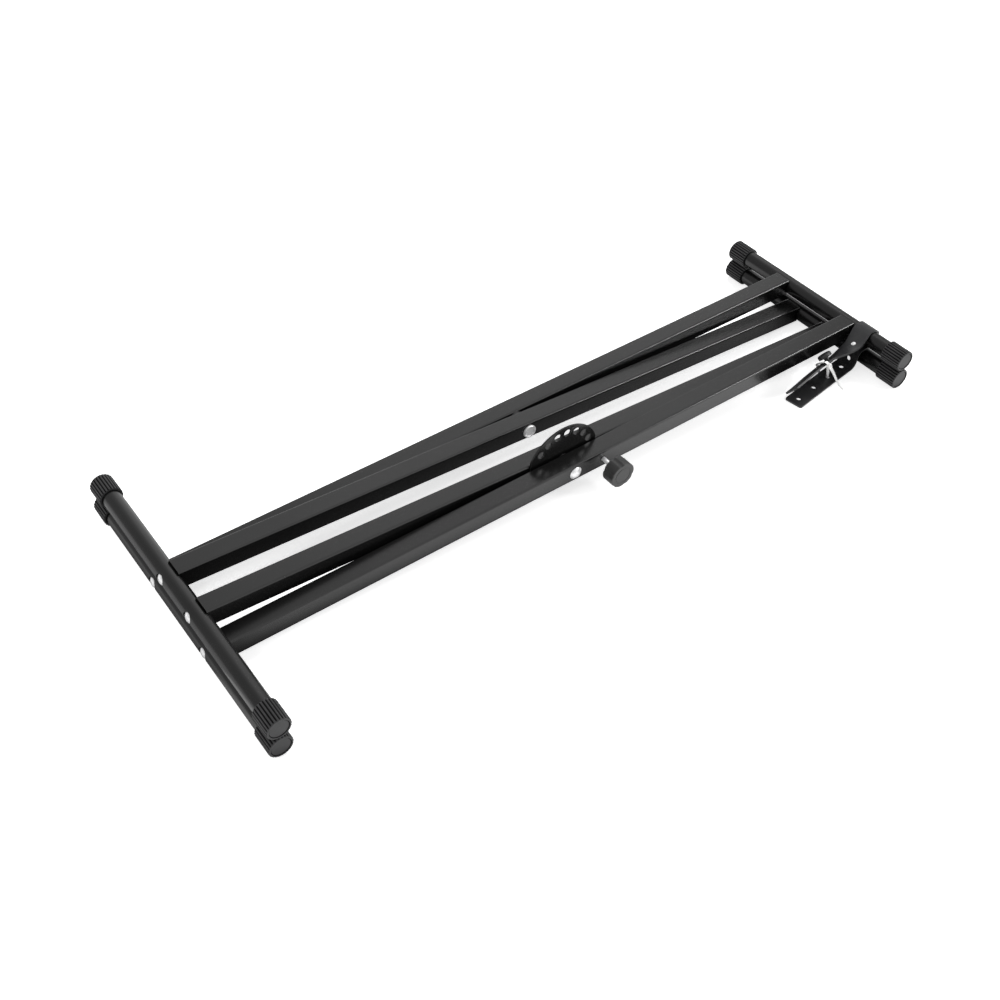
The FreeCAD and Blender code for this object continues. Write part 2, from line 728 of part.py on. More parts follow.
def outer_frame_bars():
    for name, side in (("outer_front_bar", -1), ("outer_back_bar", 1)):
        bar = square_bar(side * outer_bar_y)
        bar = drilled(bar, rivet_radius + seated_fit, side, outer_seat_y - overrun, outer_face_y + overrun)
        if side < 0:
            middle = outer_bar_y
            bar = drilled(bar, pin_radius + running_fit, side, outer_seat_y - overrun, middle, disc_hole_circle)
            bar = drilled(bar, bush_radius + seated_fit, side, middle, outer_face_y + overrun, disc_hole_circle)
        save(name, place(bar, outer_tilt))


def inner_frame_bars():
    for name, side in (("inner_front_bar", -1), ("inner_back_bar", 1)):
        bar = square_bar(side * inner_bar_y)
        bar = drilled(bar, rivet_radius + running_fit, side, inner_face_y - overrun, disc_seat_y + overrun)
        if side < 0:
            storage = disc_hole_places()[-1]
            near = disc_seat_y - bar_wall - overrun
            far = disc_seat_y + overrun
            bar = drilled(bar, storage_hole_radius, side, near, far, storage[0], storage[1])
            for x in (-disc_rivet_spacing / 2, disc_rivet_spacing / 2):
                bar = drilled(bar, disc_rivet_radius + seated_fit, side, near, far, x)
        save(name, place(bar, inner_tilt))


def save_tube(name, reach, span, bar_y, tilt):
    side = -1 if reach > 0 else 1
    tube = cross_tube(span, bar_y, side)
    tube.translate(vector(reach, 0, 0))
    save(name, place(tube, tilt))
    save_caps(name, span, tube_centre(reach, tilt))


outer_frame_bars()
inner_frame_bars()
save_tube("lower_foot_tube", -foot_reach, foot_span, outer_bar_y, outer_tilt)
save_tube("upper_arm_tube", arm_reach, arm_span, outer_bar_y, outer_tilt)
save_tube("upper_foot_tube", -foot_reach, foot_span, inner_bar_y, inner_tilt)
save_tube("lower_arm_tube", arm_reach, arm_span, inner_bar_y, inner_tilt)
frames = (("outer", outer_bar_y, outer_tilt), ("inner", inner_bar_y, inner_tilt))
for frame_name, frame_bar_y, frame_tilt in frames:
    save(frame_name + "_bar_plugs", [place(plug, frame_tilt) for plug in bar_plugs(frame_bar_y)])
    save(frame_name + "_frame_screws", [place(screw, frame_tilt) for screw in tube_screws(frame_bar_y)])
save("pivot_rivet_front", place(pivot_rivet(-1), outer_tilt))
save("pivot_rivet_back", place(pivot_rivet(1), outer_tilt))
front_washer = washer(disc_seat_y + disc_thickness + washer_play, outer_seat_y, -1)
save("pivot_washer_front", place(front_washer, outer_tilt))
save("pivot_washer_back", place(washer(disc_seat_y + washer_play, outer_seat_y, 1), outer_tilt))
save("height_disc", place(height_disc(), inner_tilt))
save("disc_rivets", [place(rivet, inner_tilt) for rivet in disc_rivets()])
save("pull_pin", place(pull_pin(), outer_tilt))
save("pin_retaining_ring", place(pin_retaining_ring(), outer_tilt))
save("pin_guide_bush", place(pin_guide_bush(), outer_tilt))
save("pin_spring", place(pin_spring(), outer_tilt))
save("pin_knob", place(pin_knob(), outer_tilt))
save("strap", strap())
save("strap_stud", strap_stud())
save("cable_tie", cable_tie())

largest_fold = disc_first_hole_angle + (disc_hole_count - 1) * disc_hole_step_angle - folded_angle
print("pivot", round(pivot_x, 3), round(pivot_z, 3), "tilts", round(inner_tilt, 4), round(outer_tilt, 4))
print("fold range", round(largest_fold, 3), "pin travel", pin_travel)
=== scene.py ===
import json
import math
from functools import partial

import bmesh
import bpy
from mathutils import Matrix, Vector


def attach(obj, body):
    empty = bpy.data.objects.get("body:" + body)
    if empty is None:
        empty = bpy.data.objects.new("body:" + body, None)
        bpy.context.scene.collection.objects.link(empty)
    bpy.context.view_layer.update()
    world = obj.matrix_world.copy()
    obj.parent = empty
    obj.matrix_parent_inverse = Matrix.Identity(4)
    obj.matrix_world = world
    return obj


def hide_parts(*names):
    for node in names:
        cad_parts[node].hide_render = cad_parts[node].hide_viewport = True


print("loading the frame")
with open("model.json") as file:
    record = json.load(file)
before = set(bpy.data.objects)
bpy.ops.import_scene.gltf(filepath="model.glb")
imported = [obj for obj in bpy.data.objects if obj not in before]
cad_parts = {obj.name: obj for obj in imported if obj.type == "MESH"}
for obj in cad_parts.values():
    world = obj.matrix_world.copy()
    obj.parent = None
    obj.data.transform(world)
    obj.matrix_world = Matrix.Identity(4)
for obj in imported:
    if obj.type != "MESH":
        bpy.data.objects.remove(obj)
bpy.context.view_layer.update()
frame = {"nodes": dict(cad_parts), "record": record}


# materials: node helpers, shared groups, then one material for each finish

number = "NodeSocketFloat"  # the kind of a plain number's socket


def setInputs(tree, node, inputs):
    # links an input where sockets are given for it, and sets it where a value is
    for label, given in inputs.items():
        for value in given if isinstance(given, list) else [given]:
            if isinstance(value, bpy.types.NodeSocket):
                tree.links.new(value, node.inputs[label])
            else:
                node.inputs[label].default_value = value
    return node


def addNode(tree, kind, inputs=None, **settings):
    node = tree.nodes.new(kind)
    for name, value in settings.items():
        setattr(node, name, value)
    return setInputs(tree, node, inputs or {})


def outputOf(tree, kind, inputs=None, output=0, **settings):
    return addNode(tree, kind, inputs, **settings).outputs[output]


def mathNode(tree, operation, first, second=0.0, clamp=False):
    return outputOf(tree, "ShaderNodeMath", {0: first, 1: second}, operation=operation, use_clamp=clamp)


def opaque(colour):
    return tuple(colour) + (1.0,)


def newGroup(name, inputs, outputs):
    group = bpy.data.node_groups.new(name, "ShaderNodeTree")
    for label, kind, value in inputs:
        socket = group.interface.new_socket(name=label, in_out="INPUT", socket_type=kind)
        if value is not None:
            socket.default_value = value
    for label in outputs:
        group.interface.new_socket(name=label, in_out="OUTPUT", socket_type=number)
    return group, group.nodes.new("NodeGroupInput").outputs


def makeGrain():
    group, source = newGroup(
        "surfaceGrain",
        [("Vector", "NodeSocketVector", None), ("Scale", number, 400.0), ("Detail", number, 4.0),
         ("Contrast", number, 1.0)],
        ["Height", "Mask"])
    noise = outputOf(group, "ShaderNodeTexNoise", {
        label: source[label] for label in ("Vector", "Scale", "Detail")}, "Fac")
    centred = mathNode(group, "SUBTRACT", noise, 0.5)
    stretched = mathNode(group, "MULTIPLY", centred, source["Contrast"])
    mask = mathNode(group, "ADD", stretched, 0.5, clamp=True)
    addNode(group, "NodeGroupOutput", {"Height": noise, "Mask": mask})
    return group


def makeEdgeWearAndHighlight():
    # strong where a rounded normal tilts away from the face's own, broken up by noise; it lightens edges as
    # wear and as a painted highlight
    group, source = newGroup(
        "edgeWearAndHighlight",
        [("Vector", "NodeSocketVector", None), ("Width", number, 0.0008), ("Strength", number, 1.0),
         ("Sharpness", number, 6.0), ("Break Scale", number, 180.0)],
        ["Mask"])
    rounded = outputOf(group, "ShaderNodeBevel", {"Radius": source["Width"]}, samples=4)
    own = outputOf(group, "ShaderNodeNewGeometry", output="Normal")
    dot = outputOf(group, "ShaderNodeVectorMath", {0: rounded, 1: own}, "Value", operation="DOT_PRODUCT")
    tilted = mathNode(group, "SUBTRACT", 1.0, dot)
    sharp = mathNode(group, "MULTIPLY", tilted, source["Sharpness"], clamp=True)
    noise = outputOf(group, "ShaderNodeTexNoise", {
        "Vector": source["Vector"], "Scale": source["Break Scale"]}, "Fac")
    broken = mathNode(group, "MULTIPLY", sharp, noise)
    mask = mathNode(group, "MULTIPLY", broken, source["Strength"], clamp=True)
    addNode(group, "NodeGroupOutput", {"Mask": mask})
    return group


grainGroup = makeGrain()
wearAndHighlightGroup = makeEdgeWearAndHighlight()
cloudGrain = {"Detail": 3.0, "Contrast": 2.0}
fineGrain = {"Detail": 5.0, "Contrast": 1.6}
# colour and dulling of the painted shade in the caps' grooves and face corner
paintedGrooveShade = {"colour": (0.002, 0.002, 0.002), "dulling": 0.5}


def makeMaterial(name, look):
    material = bpy.data.materials.new(name)
    material.use_nodes = True
    tree = material.node_tree
    place = outputOf(tree, "ShaderNodeTexCoord", output="Object")

    def fromGroup(group, values):
        return addNode(tree, "ShaderNodeGroup", {"Vector": place, **values}, node_tree=group).outputs

    def mixed(first, second, factor):
        return outputOf(tree, "ShaderNodeMix", {"A": first, "B": second, "Factor": factor}, "Result",
                        data_type="RGBA")

    broad = fromGroup(grainGroup, {"Scale": look["cloudScale"], **cloudGrain})
    fine = fromGroup(grainGroup, {"Scale": look["grainScale"], **fineGrain})
    wearAndHighlight = fromGroup(wearAndHighlightGroup, {"Width": look["wearAndHighlightWidth"], "Strength": look["wearAndHighlight"]})
    clouds = mixed(opaque(look["dark"]), opaque(look["light"]), broad["Mask"])
    # edges lighter, partly as wear and partly as a painted highlight line
    colour = mixed(clouds, opaque(look["wornAndHighlightColour"]), wearAndHighlight["Mask"])
    roughness = outputOf(tree, "ShaderNodeMapRange", {
        "To Min": look["smoothest"], "To Max": look["roughest"], "Value": fine["Mask"]})
    specular = look["specular"]
    if "paintedShadeFrom" in look:
        # painted shade: black and dull in the deepest part of each groove and in the end face's inner corner
        groove = outputOf(tree, "ShaderNodeAttribute", output="Fac", attribute_name="groove")
        sunk = outputOf(tree, "ShaderNodeMapRange", {"From Min": look["paintedShadeFrom"], "Value": groove})
        colour = mixed(colour, opaque(paintedGrooveShade["colour"]), sunk)
        dulling = mathNode(tree, "MULTIPLY", sunk, paintedGrooveShade["dulling"])
        roughness = mathNode(tree, "ADD", roughness, dulling, clamp=True)
        specular = mathNode(tree, "MULTIPLY", mathNode(tree, "SUBTRACT", 1.0, sunk), specular)
    bump = outputOf(tree, "ShaderNodeBump", {
        "Strength": look["bump"], "Distance": look["bumpHeight"], "Height": fine["Height"]})
    setInputs(tree, tree.nodes["Principled BSDF"], {
        "Metallic": look["metallic"], "Specular IOR Level": specular, "Base Color": colour,
        "Roughness": roughness, "Normal": bump})
    return material


# the light edge colour of each look stands partly for wear and partly for a painted highlight
looks = {
    "glossPaint": {
        "metallic": 0.0, "specular": 0.5, "smoothest": 0.20, "roughest": 0.28,
        "dark": (0.003, 0.003, 0.003), "light": (0.006, 0.006, 0.006), "cloudScale": 9.0,
        "grainScale": 260.0, "bump": 0.10, "bumpHeight": 0.0001,
        "wornAndHighlightColour": (0.12, 0.12, 0.12), "wearAndHighlight": 0.5, "wearAndHighlightWidth": 0.0009},
    "brightZinc": {
        "metallic": 0.45, "specular": 0.5, "smoothest": 0.2, "roughest": 0.3,
        "dark": (0.90, 0.90, 0.91), "light": (0.97, 0.97, 0.97), "cloudScale": 60.0,
        "grainScale": 900.0, "bump": 0.08, "bumpHeight": 0.00005,
        "wornAndHighlightColour": (0.98, 0.98, 0.98), "wearAndHighlight": 0.3, "wearAndHighlightWidth": 0.0004},
    "blackSteel": {
        "metallic": 0.0, "specular": 0.4, "smoothest": 0.3, "roughest": 0.45,
        "dark": (0.006, 0.006, 0.006), "light": (0.012, 0.012, 0.012), "cloudScale": 60.0,
        "grainScale": 800.0, "bump": 0.2, "bumpHeight": 0.0001,
        "wornAndHighlightColour": (0.06, 0.06, 0.06), "wearAndHighlight": 0.3, "wearAndHighlightWidth": 0.0004},
    "dullSteel": {
        "metallic": 1.0, "specular": 0.5, "smoothest": 0.3, "roughest": 0.5,
        "dark": (0.12, 0.12, 0.12), "light": (0.22, 0.22, 0.22), "cloudScale": 50.0,
        "grainScale": 700.0, "bump": 0.2, "bumpHeight": 0.0001,
        "wornAndHighlightColour": (0.5, 0.5, 0.5), "wearAndHighlight": 0.3, "wearAndHighlightWidth": 0.0004},
    # the cap's finish paints shade into its grooves and its face corner
    "capRubber": {
        "metallic": 0.0, "specular": 0.4, "smoothest": 0.42, "roughest": 0.6,
        "dark": (0.022, 0.022, 0.023), "light": (0.042, 0.042, 0.043), "cloudScale": 40.0,
        "grainScale": 1500.0, "bump": 0.3, "bumpHeight": 0.0002,
        "wornAndHighlightColour": (0.09, 0.09, 0.09), "wearAndHighlight": 0.6, "wearAndHighlightWidth": 0.0006, "paintedShadeFrom": 0.5},
    "knobPlastic": {
        "metallic": 0.0, "specular": 0.45, "smoothest": 0.36, "roughest": 0.5,
        "dark": (0.016, 0.016, 0.016), "light": (0.026, 0.026, 0.026), "cloudScale": 60.0,
        "grainScale": 1800.0, "bump": 0.25, "bumpHeight": 0.0002,
        "wornAndHighlightColour": (0.12, 0.12, 0.12), "wearAndHighlight": 0.7, "wearAndHighlightWidth": 0.0007},
    "strapRubber": {
        "metallic": 0.0, "specular": 0.45, "smoothest": 0.34, "roughest": 0.5,
        "dark": (0.014, 0.014, 0.015), "light": (0.026, 0.026, 0.027), "cloudScale": 45.0,
        "grainScale": 1200.0, "bump": 0.2, "bumpHeight": 0.0002,
        "wornAndHighlightColour": (0.08, 0.08, 0.08), "wearAndHighlight": 0.4, "wearAndHighlightWidth": 0.0006},
    "whiteNylon": {
        "metallic": 0.0, "specular": 0.5, "smoothest": 0.3, "roughest": 0.4,
        "dark": (0.82, 0.82, 0.81), "light": (0.92, 0.92, 0.91), "cloudScale": 80.0,
        "grainScale": 900.0, "bump": 0.15, "bumpHeight": 0.0001,
        "wornAndHighlightColour": (0.96, 0.96, 0.96), "wearAndHighlight": 0.1, "wearAndHighlightWidth": 0.0004},
}
finishes = {name: makeMaterial(name, look) for name, look in looks.items()}
slotFinishes = {
    "black_paint": "glossPaint", "bright_zinc": "brightZinc", "plug_steel": "dullSteel",
    "spring_steel": "dullSteel", "washer_nylon": "knobPlastic", "cap_rubber": "capRubber",
    "knob_plastic": "knobPlastic", "strap_rubber": "strapRubber", "stud_plastic": "knobPlastic",
    "white_nylon": "whiteNylon",
}


def putOn(mesh, finish):
    mesh.materials.clear()
    mesh.materials.append(finishes[finish])


print("finishing the CAD nodes")
nodeSlots = {part["node"]: part["material_slot"] for part in frame["record"]["subparts"]}
for name, piece in frame["nodes"].items():
    putOn(piece.data, slotFinishes[nodeSlots[name]])


# mesh helpers

weldDistance = 0.00001


def newObject(name, data):
    made = bpy.data.objects.new(name, data)
    bpy.context.scene.collection.objects.link(made)
    return made


def meshFrom(name, points, faces):
    mesh = bpy.data.meshes.new(name)
    mesh.from_pydata([tuple(point) for point in points], [], faces)
    shape = bmesh.new()
    shape.from_mesh(mesh)
    bmesh.ops.recalc_face_normals(shape, faces=shape.faces)
    shape.to_mesh(mesh)
    shape.free()
    return mesh


def evenAngles(steps):
    return [2 * math.pi * step / steps for step in range(steps)]


def ringFaces(rows, steps, around=False):
    # faces from each ring to the next, and from the last to the first where the rings go around
    faces = []
    for row in range(rows if around else rows - 1):
        low, high = row * steps, (row + 1) % rows * steps
        for step in range(steps):
            after = (step + 1) % steps
            faces.append((low + step, low + after, high + after, high + step))
    return faces


def loopedGrid(rings):
    # rings of equal length joined into a skin that runs back into itself
    points = [point for ring in rings for point in ring]
    return points, ringFaces(len(rings), len(rings[0]), around=True)


def closedGrid(rings, startPole=None, endPole=None):
    # rings of equal length joined into a closed skin, ended by a pole or by one flat face
    points = [point for ring in rings for point in ring]
    steps = len(rings[0])
    faces = ringFaces(len(rings), steps)
    for pole, row in ((startPole, 0), (endPole, len(rings) - 1)):
        ring = [row * steps + step for step in range(steps)]
        if pole is None:
            faces.append(ring)
            continue
        points.append(pole)
        for step in range(steps):
            faces.append((ring[step], ring[(step + 1) % steps], len(points) - 1))
    return points, faces


def turned(name, profile, angles, radiusAt=None):
    # a turned part about +Z from (height, radius) pairs, the first and last of them on the axis
    rings = []
    for row, (height, radius) in enumerate(profile[1:-1]):
        ring = []
        for angle in angles:
            reach = radiusAt(row + 1, radius, angle) if radiusAt else radius
            ring.append((reach * math.cos(angle), reach * math.sin(angle), height))
        rings.append(ring)
    points, faces = closedGrid(rings, (0, 0, profile[0][0]), (0, 0, profile[-1][0]))
    return meshFrom(name, points, faces)


def arcPoints(centre, radius, startAngle, endAngle, steps):
    # (height, radius) pairs along an arc; the angle is measured from the outward direction
    made = []
    for step in range(steps + 1):
        angle = math.radians(startAngle + (endAngle - startAngle) * step / steps)
        made.append((centre[0] + radius * math.sin(angle), centre[1] + radius * math.cos(angle)))
    return made


def domePoint(top, base, rise, reach):
    # the (height, radius) pair at a reach on a dome that rises over its base radius to the top
    radius = (base ** 2 + rise ** 2) / (2 * rise)
    return top - radius + math.sqrt(radius ** 2 - reach ** 2), reach


def quarterRound(centre, radius, quarter, steps):
    # points of a corner that turns through the given quarter of a circle
    made = []
    for step in range(steps + 1):
        angle = math.radians(90 * (quarter + step / steps))
        made.append((centre[0] + radius * math.cos(angle), centre[1] + radius * math.sin(angle)))
    return made


def roundedRectangle(low, high, corner, steps):
    middles = ((high[0] - corner, high[1] - corner), (low[0] + corner, high[1] - corner),
               (low[0] + corner, low[1] + corner), (high[0] - corner, low[1] + corner))
    return [point for quarter, middle in enumerate(middles)
            for point in quarterRound(middle, corner, quarter, steps)]


def picked(values, *keys):
    return [values[key] for key in keys]


def smoothStep(value):
    share = min(max(value, 0.0), 1.0)
    return share * share * (3 - 2 * share)


def softMin(first, second, width):
    return (first + second - math.sqrt((first - second) ** 2 + width ** 2)) / 2


def modified(mesh, kind, inputs=None, **settings):
    # the mesh after one modifier, as a plain mesh
    holder = newObject("holder", mesh)
    modifier = holder.modifiers.new(kind.lower(), kind)
    for name, value in settings.items():
        setattr(modifier, name, value)
    for identifier, value in (inputs or {}).items():
        modifier[identifier] = value
    bpy.context.view_layer.update()
    evaluated = holder.evaluated_get(bpy.context.evaluated_depsgraph_get())
    made = bpy.data.meshes.new_from_object(evaluated)
    bpy.data.objects.remove(holder)
    return made


def bevelled(mesh, width, segments=2, angle=50.0):
    return modified(mesh, "BEVEL", width=width, segments=segments, limit_method="ANGLE",
                    angle_limit=math.radians(angle), use_clamp_overlap=True)


def runTree(mesh, tree, values, slotName):
    values = {**values, "Finish": finishes[slotFinishes[slotName]]}
    inputs = {item.identifier: values[item.name] for item in tree.interface.items_tree
              if item.in_out == "INPUT" and item.name in values}
    return modified(mesh, "NODES", inputs, node_group=tree)


# geometry trees

def newTree(name, inputs):
    tree = bpy.data.node_groups.new(name, "GeometryNodeTree")
    tree.is_modifier = True
    geometry = ("Geometry", "NodeSocketGeometry")
    for label, kind in [geometry] + inputs + [("Finish", "NodeSocketMaterial")]:
        tree.interface.new_socket(name=label, in_out="INPUT", socket_type=kind)
    tree.interface.new_socket(name=geometry[0], in_out="OUTPUT", socket_type=geometry[1])
    return tree, tree.nodes.new("NodeGroupInput").outputs


def endTree(tree, source, geometry):
    # each tree ends as plain geometry in the given finish
    solid = outputOf(tree, "GeometryNodeRealizeInstances", {"Geometry": geometry})
    painted = outputOf(tree, "GeometryNodeSetMaterial", {"Geometry": solid, "Material": source["Finish"]})
    addNode(tree, "NodeGroupOutput", {"Geometry": painted})
    return tree


def readAttribute(tree, name, kind="FLOAT"):
    return outputOf(tree, "GeometryNodeInputNamedAttribute", {"Name": name}, data_type=kind)


def makeCopiesTree():
    tree, source = newTree("copiesAtPlaces", [("Part", "NodeSocketObject")])
    dots = outputOf(tree, "GeometryNodeMeshToPoints", {"Mesh": source["Geometry"]}, mode="VERTICES")
    part = outputOf(tree, "GeometryNodeObjectInfo", {"Object": source["Part"]}, "Geometry")
    turn = outputOf(tree, "FunctionNodeEulerToRotation", {
        "Euler": readAttribute(tree, "turn", "FLOAT_VECTOR")})
    copies = outputOf(tree, "GeometryNodeInstanceOnPoints", {
        "Points": dots, "Instance": part, "Rotation": turn})
    return endTree(tree, source, copies)


def makeRibTree():
    # round grooves sunk into a cap, each point marked with how deep it lies in one
    tree, source = newTree("ribCutter", [
        (label, number) for label in ("Cap Radius", "Rib Count", "Groove Radius", "Groove Depth")])
    calc = partial(mathNode, tree)
    ribCount, grooveRadius, grooveDepth = picked(source, "Rib Count", "Groove Radius", "Groove Depth")
    place = addNode(tree, "ShaderNodeSeparateXYZ", {
        "Vector": outputOf(tree, "GeometryNodeInputPosition")}).outputs
    angle = calc("ARCTAN2", place["Y"], place["X"])
    share = calc("FRACT", calc("MULTIPLY", calc("DIVIDE", angle, 2 * math.pi), ribCount))
    pitch = calc("DIVIDE", calc("MULTIPLY", source["Cap Radius"], 2 * math.pi), ribCount)
    aside = calc("MULTIPLY", calc("SUBTRACT", share, 0.5), pitch)
    squared = calc("MULTIPLY", grooveRadius, grooveRadius)
    left = calc("SUBTRACT", squared, calc("MULTIPLY", aside, aside))
    arc = calc("SQRT", calc("MAXIMUM", left, 0.0))
    base = calc("SUBTRACT", grooveRadius, grooveDepth)
    depth = calc("MAXIMUM", calc("SUBTRACT", arc, base), 0.0)
    cut = calc("MULTIPLY", depth, readAttribute(tree, "ribShare"))
    back = calc("MULTIPLY", cut, -1.0)
    inward = outputOf(tree, "ShaderNodeCombineXYZ", {
        "X": calc("MULTIPLY", calc("COSINE", angle), back), "Y": calc("MULTIPLY", calc("SINE", angle), back)})
    sunk = calc("DIVIDE", cut, grooveDepth, clamp=True)
    # the groove depth and the face's corner mark, which the cap's finish paints dark as shade
    deepest = calc("MAXIMUM", sunk, readAttribute(tree, "cornerShare"))
    marked = outputOf(tree, "GeometryNodeStoreNamedAttribute", {
        "Geometry": source["Geometry"], "Name": "groove", "Value": deepest},
        data_type="FLOAT", domain="POINT")
    moved = outputOf(tree, "GeometryNodeSetPosition", {"Geometry": marked, "Offset": inward})
    return endTree(tree, source, moved)


def makePlateTree():
    # a plate from its outline's edges, with a round hole at each loose point
    tree, source = newTree("perforatedPlate", [("Thickness", number), ("Hole Steps", "NodeSocketInt")])
    add = partial(outputOf, tree)
    size = readAttribute(tree, "holeRadius")
    outline = add("GeometryNodeMeshToCurve", {"Mesh": source["Geometry"]})
    dots = add("GeometryNodeMeshToPoints", {
        "Mesh": source["Geometry"], "Selection": mathNode(tree, "GREATER_THAN", size, 0.0)}, mode="VERTICES")
    circle = add("GeometryNodeCurvePrimitiveCircle", {"Radius": 1.0, "Resolution": source["Hole Steps"]})
    holes = add("GeometryNodeInstanceOnPoints", {"Points": dots, "Instance": circle, "Scale": size})
    real = add("GeometryNodeRealizeInstances", {"Geometry": holes})
    together = add("GeometryNodeJoinGeometry", {"Geometry": [outline, real]})
    filled = add("GeometryNodeFillCurve", {"Curve": together}, mode="NGONS")
    raised = add("GeometryNodeExtrudeMesh", {
        "Mesh": filled, "Offset Scale": source["Thickness"], "Individual": False}, mode="FACES")
    flipped = add("GeometryNodeFlipFaces", {"Mesh": filled})
    both = add("GeometryNodeJoinGeometry", {"Geometry": [raised, flipped]})
    welded = add("GeometryNodeMergeByDistance", {"Geometry": both, "Distance": weldDistance})
    return endTree(tree, source, welded)


copiesTree = makeCopiesTree()
ribTree = makeRibTree()
plateTree = makePlateTree()


def copiesOf(part, places, slotName):
    # places are (position, turn) pairs; the part's mesh is repeated at each
    spots = bpy.data.meshes.new("spots")
    spots.from_pydata([tuple(position) for position, turn in places], [], [])
    turns = spots.attributes.new("turn", "FLOAT_VECTOR", "POINT")
    for index, (position, turn) in enumerate(places):
        turns.data[index].vector = turn
    pattern = newObject("pattern", part)
    made = runTree(spots, copiesTree, {"Part": pattern}, slotName)
    bpy.data.objects.remove(pattern)
    return made


def plateFrom(outline, holes, thickness, holeSteps, slotName):
    # outline is (x, y) corners, holes are (x, y, radius)
    count = len(outline)
    flat = bpy.data.meshes.new("flat")
    flat.from_pydata([(x, y, 0) for x, y in outline] + [(x, y, 0) for x, y, radius in holes],
                     [(index, (index + 1) % count) for index in range(count)], [])
    sizes = flat.attributes.new("holeRadius", "FLOAT", "POINT")
    for index, hole in enumerate(holes):
        sizes.data[count + index].value = hole[2]
    return runTree(flat, plateTree, {"Thickness": thickness, "Hole Steps": holeSteps}, slotName)


def addPiece(name, mesh, body, slotName, nodes, sharpAngle=38.0, finish=None):
    # the finish is the slot's own unless another is named
    mesh.name = name
    putOn(mesh, finish or slotFinishes[slotName])
    mesh.polygons.foreach_set("use_smooth", [True] * len(mesh.polygons))
    mesh.set_sharp_from_angle(angle=math.radians(sharpAngle))
    mesh.update()
    piece = newObject(name, mesh)
    evened = piece.modifiers.new("evenNormals", "WEIGHTED_NORMAL")
    evened.keep_sharp = True
    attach(piece, body)
    if nodes:
        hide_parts(*nodes)


# where the two frames stand when the stand is folded

standValues = {
    "footReach": 0.484, "armReach": 0.490, "innerBarY": 0.0325, "outerBarY": 0.0605,
    "capRadius": 0.0145, "foldGap": 0.0004, "footSpan": 0.420, "armSpan": 0.321,
    "barSize": 0.025, "barCorner": 0.0025, "tubeRadius": 0.0115, "seatReach": 0.0068,
    "dishReach": 0.0077, "dishRadius": 0.0084, "capLength": 0.030, "capEndWall": 0.003,
    "pinCircle": 0.0434,
}
footReach, armReach = standValues["footReach"], standValues["armReach"]
halfBar = standValues["barSize"] / 2
axisDrop = (2 * standValues["capRadius"] + standValues["foldGap"]) / (1 + footReach / armReach)
innerTilt = math.asin(axisDrop / armReach)
outerTilt = -math.asin(axisDrop / footReach)
foldedAngle = innerTilt - outerTilt
pivotPlace = Vector(((footReach - armReach) * max(math.cos(innerTilt), math.cos(outerTilt)) / 2, 0,
                     standValues["capRadius"] + axisDrop))
frameTurns = {"outer_frame": outerTilt, "inner_frame": innerTilt}
framePlaces = {body: Matrix.Translation(pivotPlace) @ Matrix.Rotation(tilt, 4, "Y")
               for body, tilt in frameTurns.items()}
barPlaces = {"outer_frame": standValues["outerBarY"], "inner_frame": standValues["innerBarY"]}
prefixes = {"outer_frame": "outer", "inner_frame": "inner"}
tubes = [
    ("lowerFootTube", "lower_foot_tube", "outer_frame", -footReach, standValues["footSpan"]),
    ("upperArmTube", "upper_arm_tube", "outer_frame", armReach, standValues["armSpan"]),
    ("upperFootTube", "upper_foot_tube", "inner_frame", -footReach, standValues["footSpan"]),
    ("lowerArmTube", "lower_arm_tube", "inner_frame", armReach, standValues["armSpan"]),
]


# square bars

print("making the bars")
barValues = {"cornerSteps": 8, "storageHoleRadius": 0.0047, "storageHoleDepth": 0.0055,
             "pinBoreRadius": 0.00405, "pinBoreDepth": 0.0130, "boreSteps": 32}


def squareBar(middleY):
    section = roundedRectangle(
        (-halfBar, -halfBar), (halfBar, halfBar), standValues["barCorner"], barValues["cornerSteps"])
    ends = (standValues["seatReach"] - footReach, armReach - standValues["seatReach"])
    return meshFrom("bar", *closedGrid([[(x, middleY + y, z) for y, z in section] for x in ends]))


def boredOut(mesh, radius, start, depth):
    # a blind hole along Y
    drill = newObject("drill", meshFrom("drill", *closedGrid([
        [(start[0] + radius * math.cos(angle), y, start[2] + radius * math.sin(angle))
         for angle in evenAngles(barValues["boreSteps"])] for y in (start[1] - depth, start[1] + depth)])))
    made = modified(mesh, "BOOLEAN", object=drill, solver="EXACT")
    bpy.data.objects.remove(drill)
    return made


for body, barY in barPlaces.items():
    for sideName, side in (("front", -1), ("back", 1)):
        bar = squareBar(side * barY)
        circle = standValues["pinCircle"]
        if body == "inner_frame" and side < 0:
            place = (circle * math.cos(foldedAngle), -barY - halfBar, circle * math.sin(foldedAngle))
            bar = boredOut(bar, barValues["storageHoleRadius"], place, barValues["storageHoleDepth"])
        elif side < 0:
            place = (circle, -barY + halfBar, 0)
            bar = boredOut(bar, barValues["pinBoreRadius"], place, barValues["pinBoreDepth"])
        bar.transform(framePlaces[body])
        node = prefixes[body] + "_" + sideName + "_bar"
        name = prefixes[body] + sideName.capitalize() + "Bar"
        addPiece(name, bar, body, "black_paint", [node])


# round cross tubes, pressed flat for the bars and dished for the screw heads

print("making the cross tubes")
tubeValues = {
    "steps": 120, "fineStep": 0.0005, "fineReach": 0.0170, "seatRoom": 0.0005, "seatRamp": 0.0025,
    "dishRamp": 0.0012, "creaseWidth": 0.0003, "dishMargin": 0.002, "leastFacing": 0.2,
}


def tubeStations(span, barY):
    half = span / 2 - standValues["capEndWall"]
    stations = {-half, half, 0.0}
    count = round(tubeValues["fineReach"] / tubeValues["fineStep"])
    for side in (-1, 1):
        for step in range(-count, count + 1):
            stations.add(side * barY + step * tubeValues["fineStep"])
    return sorted(stations)


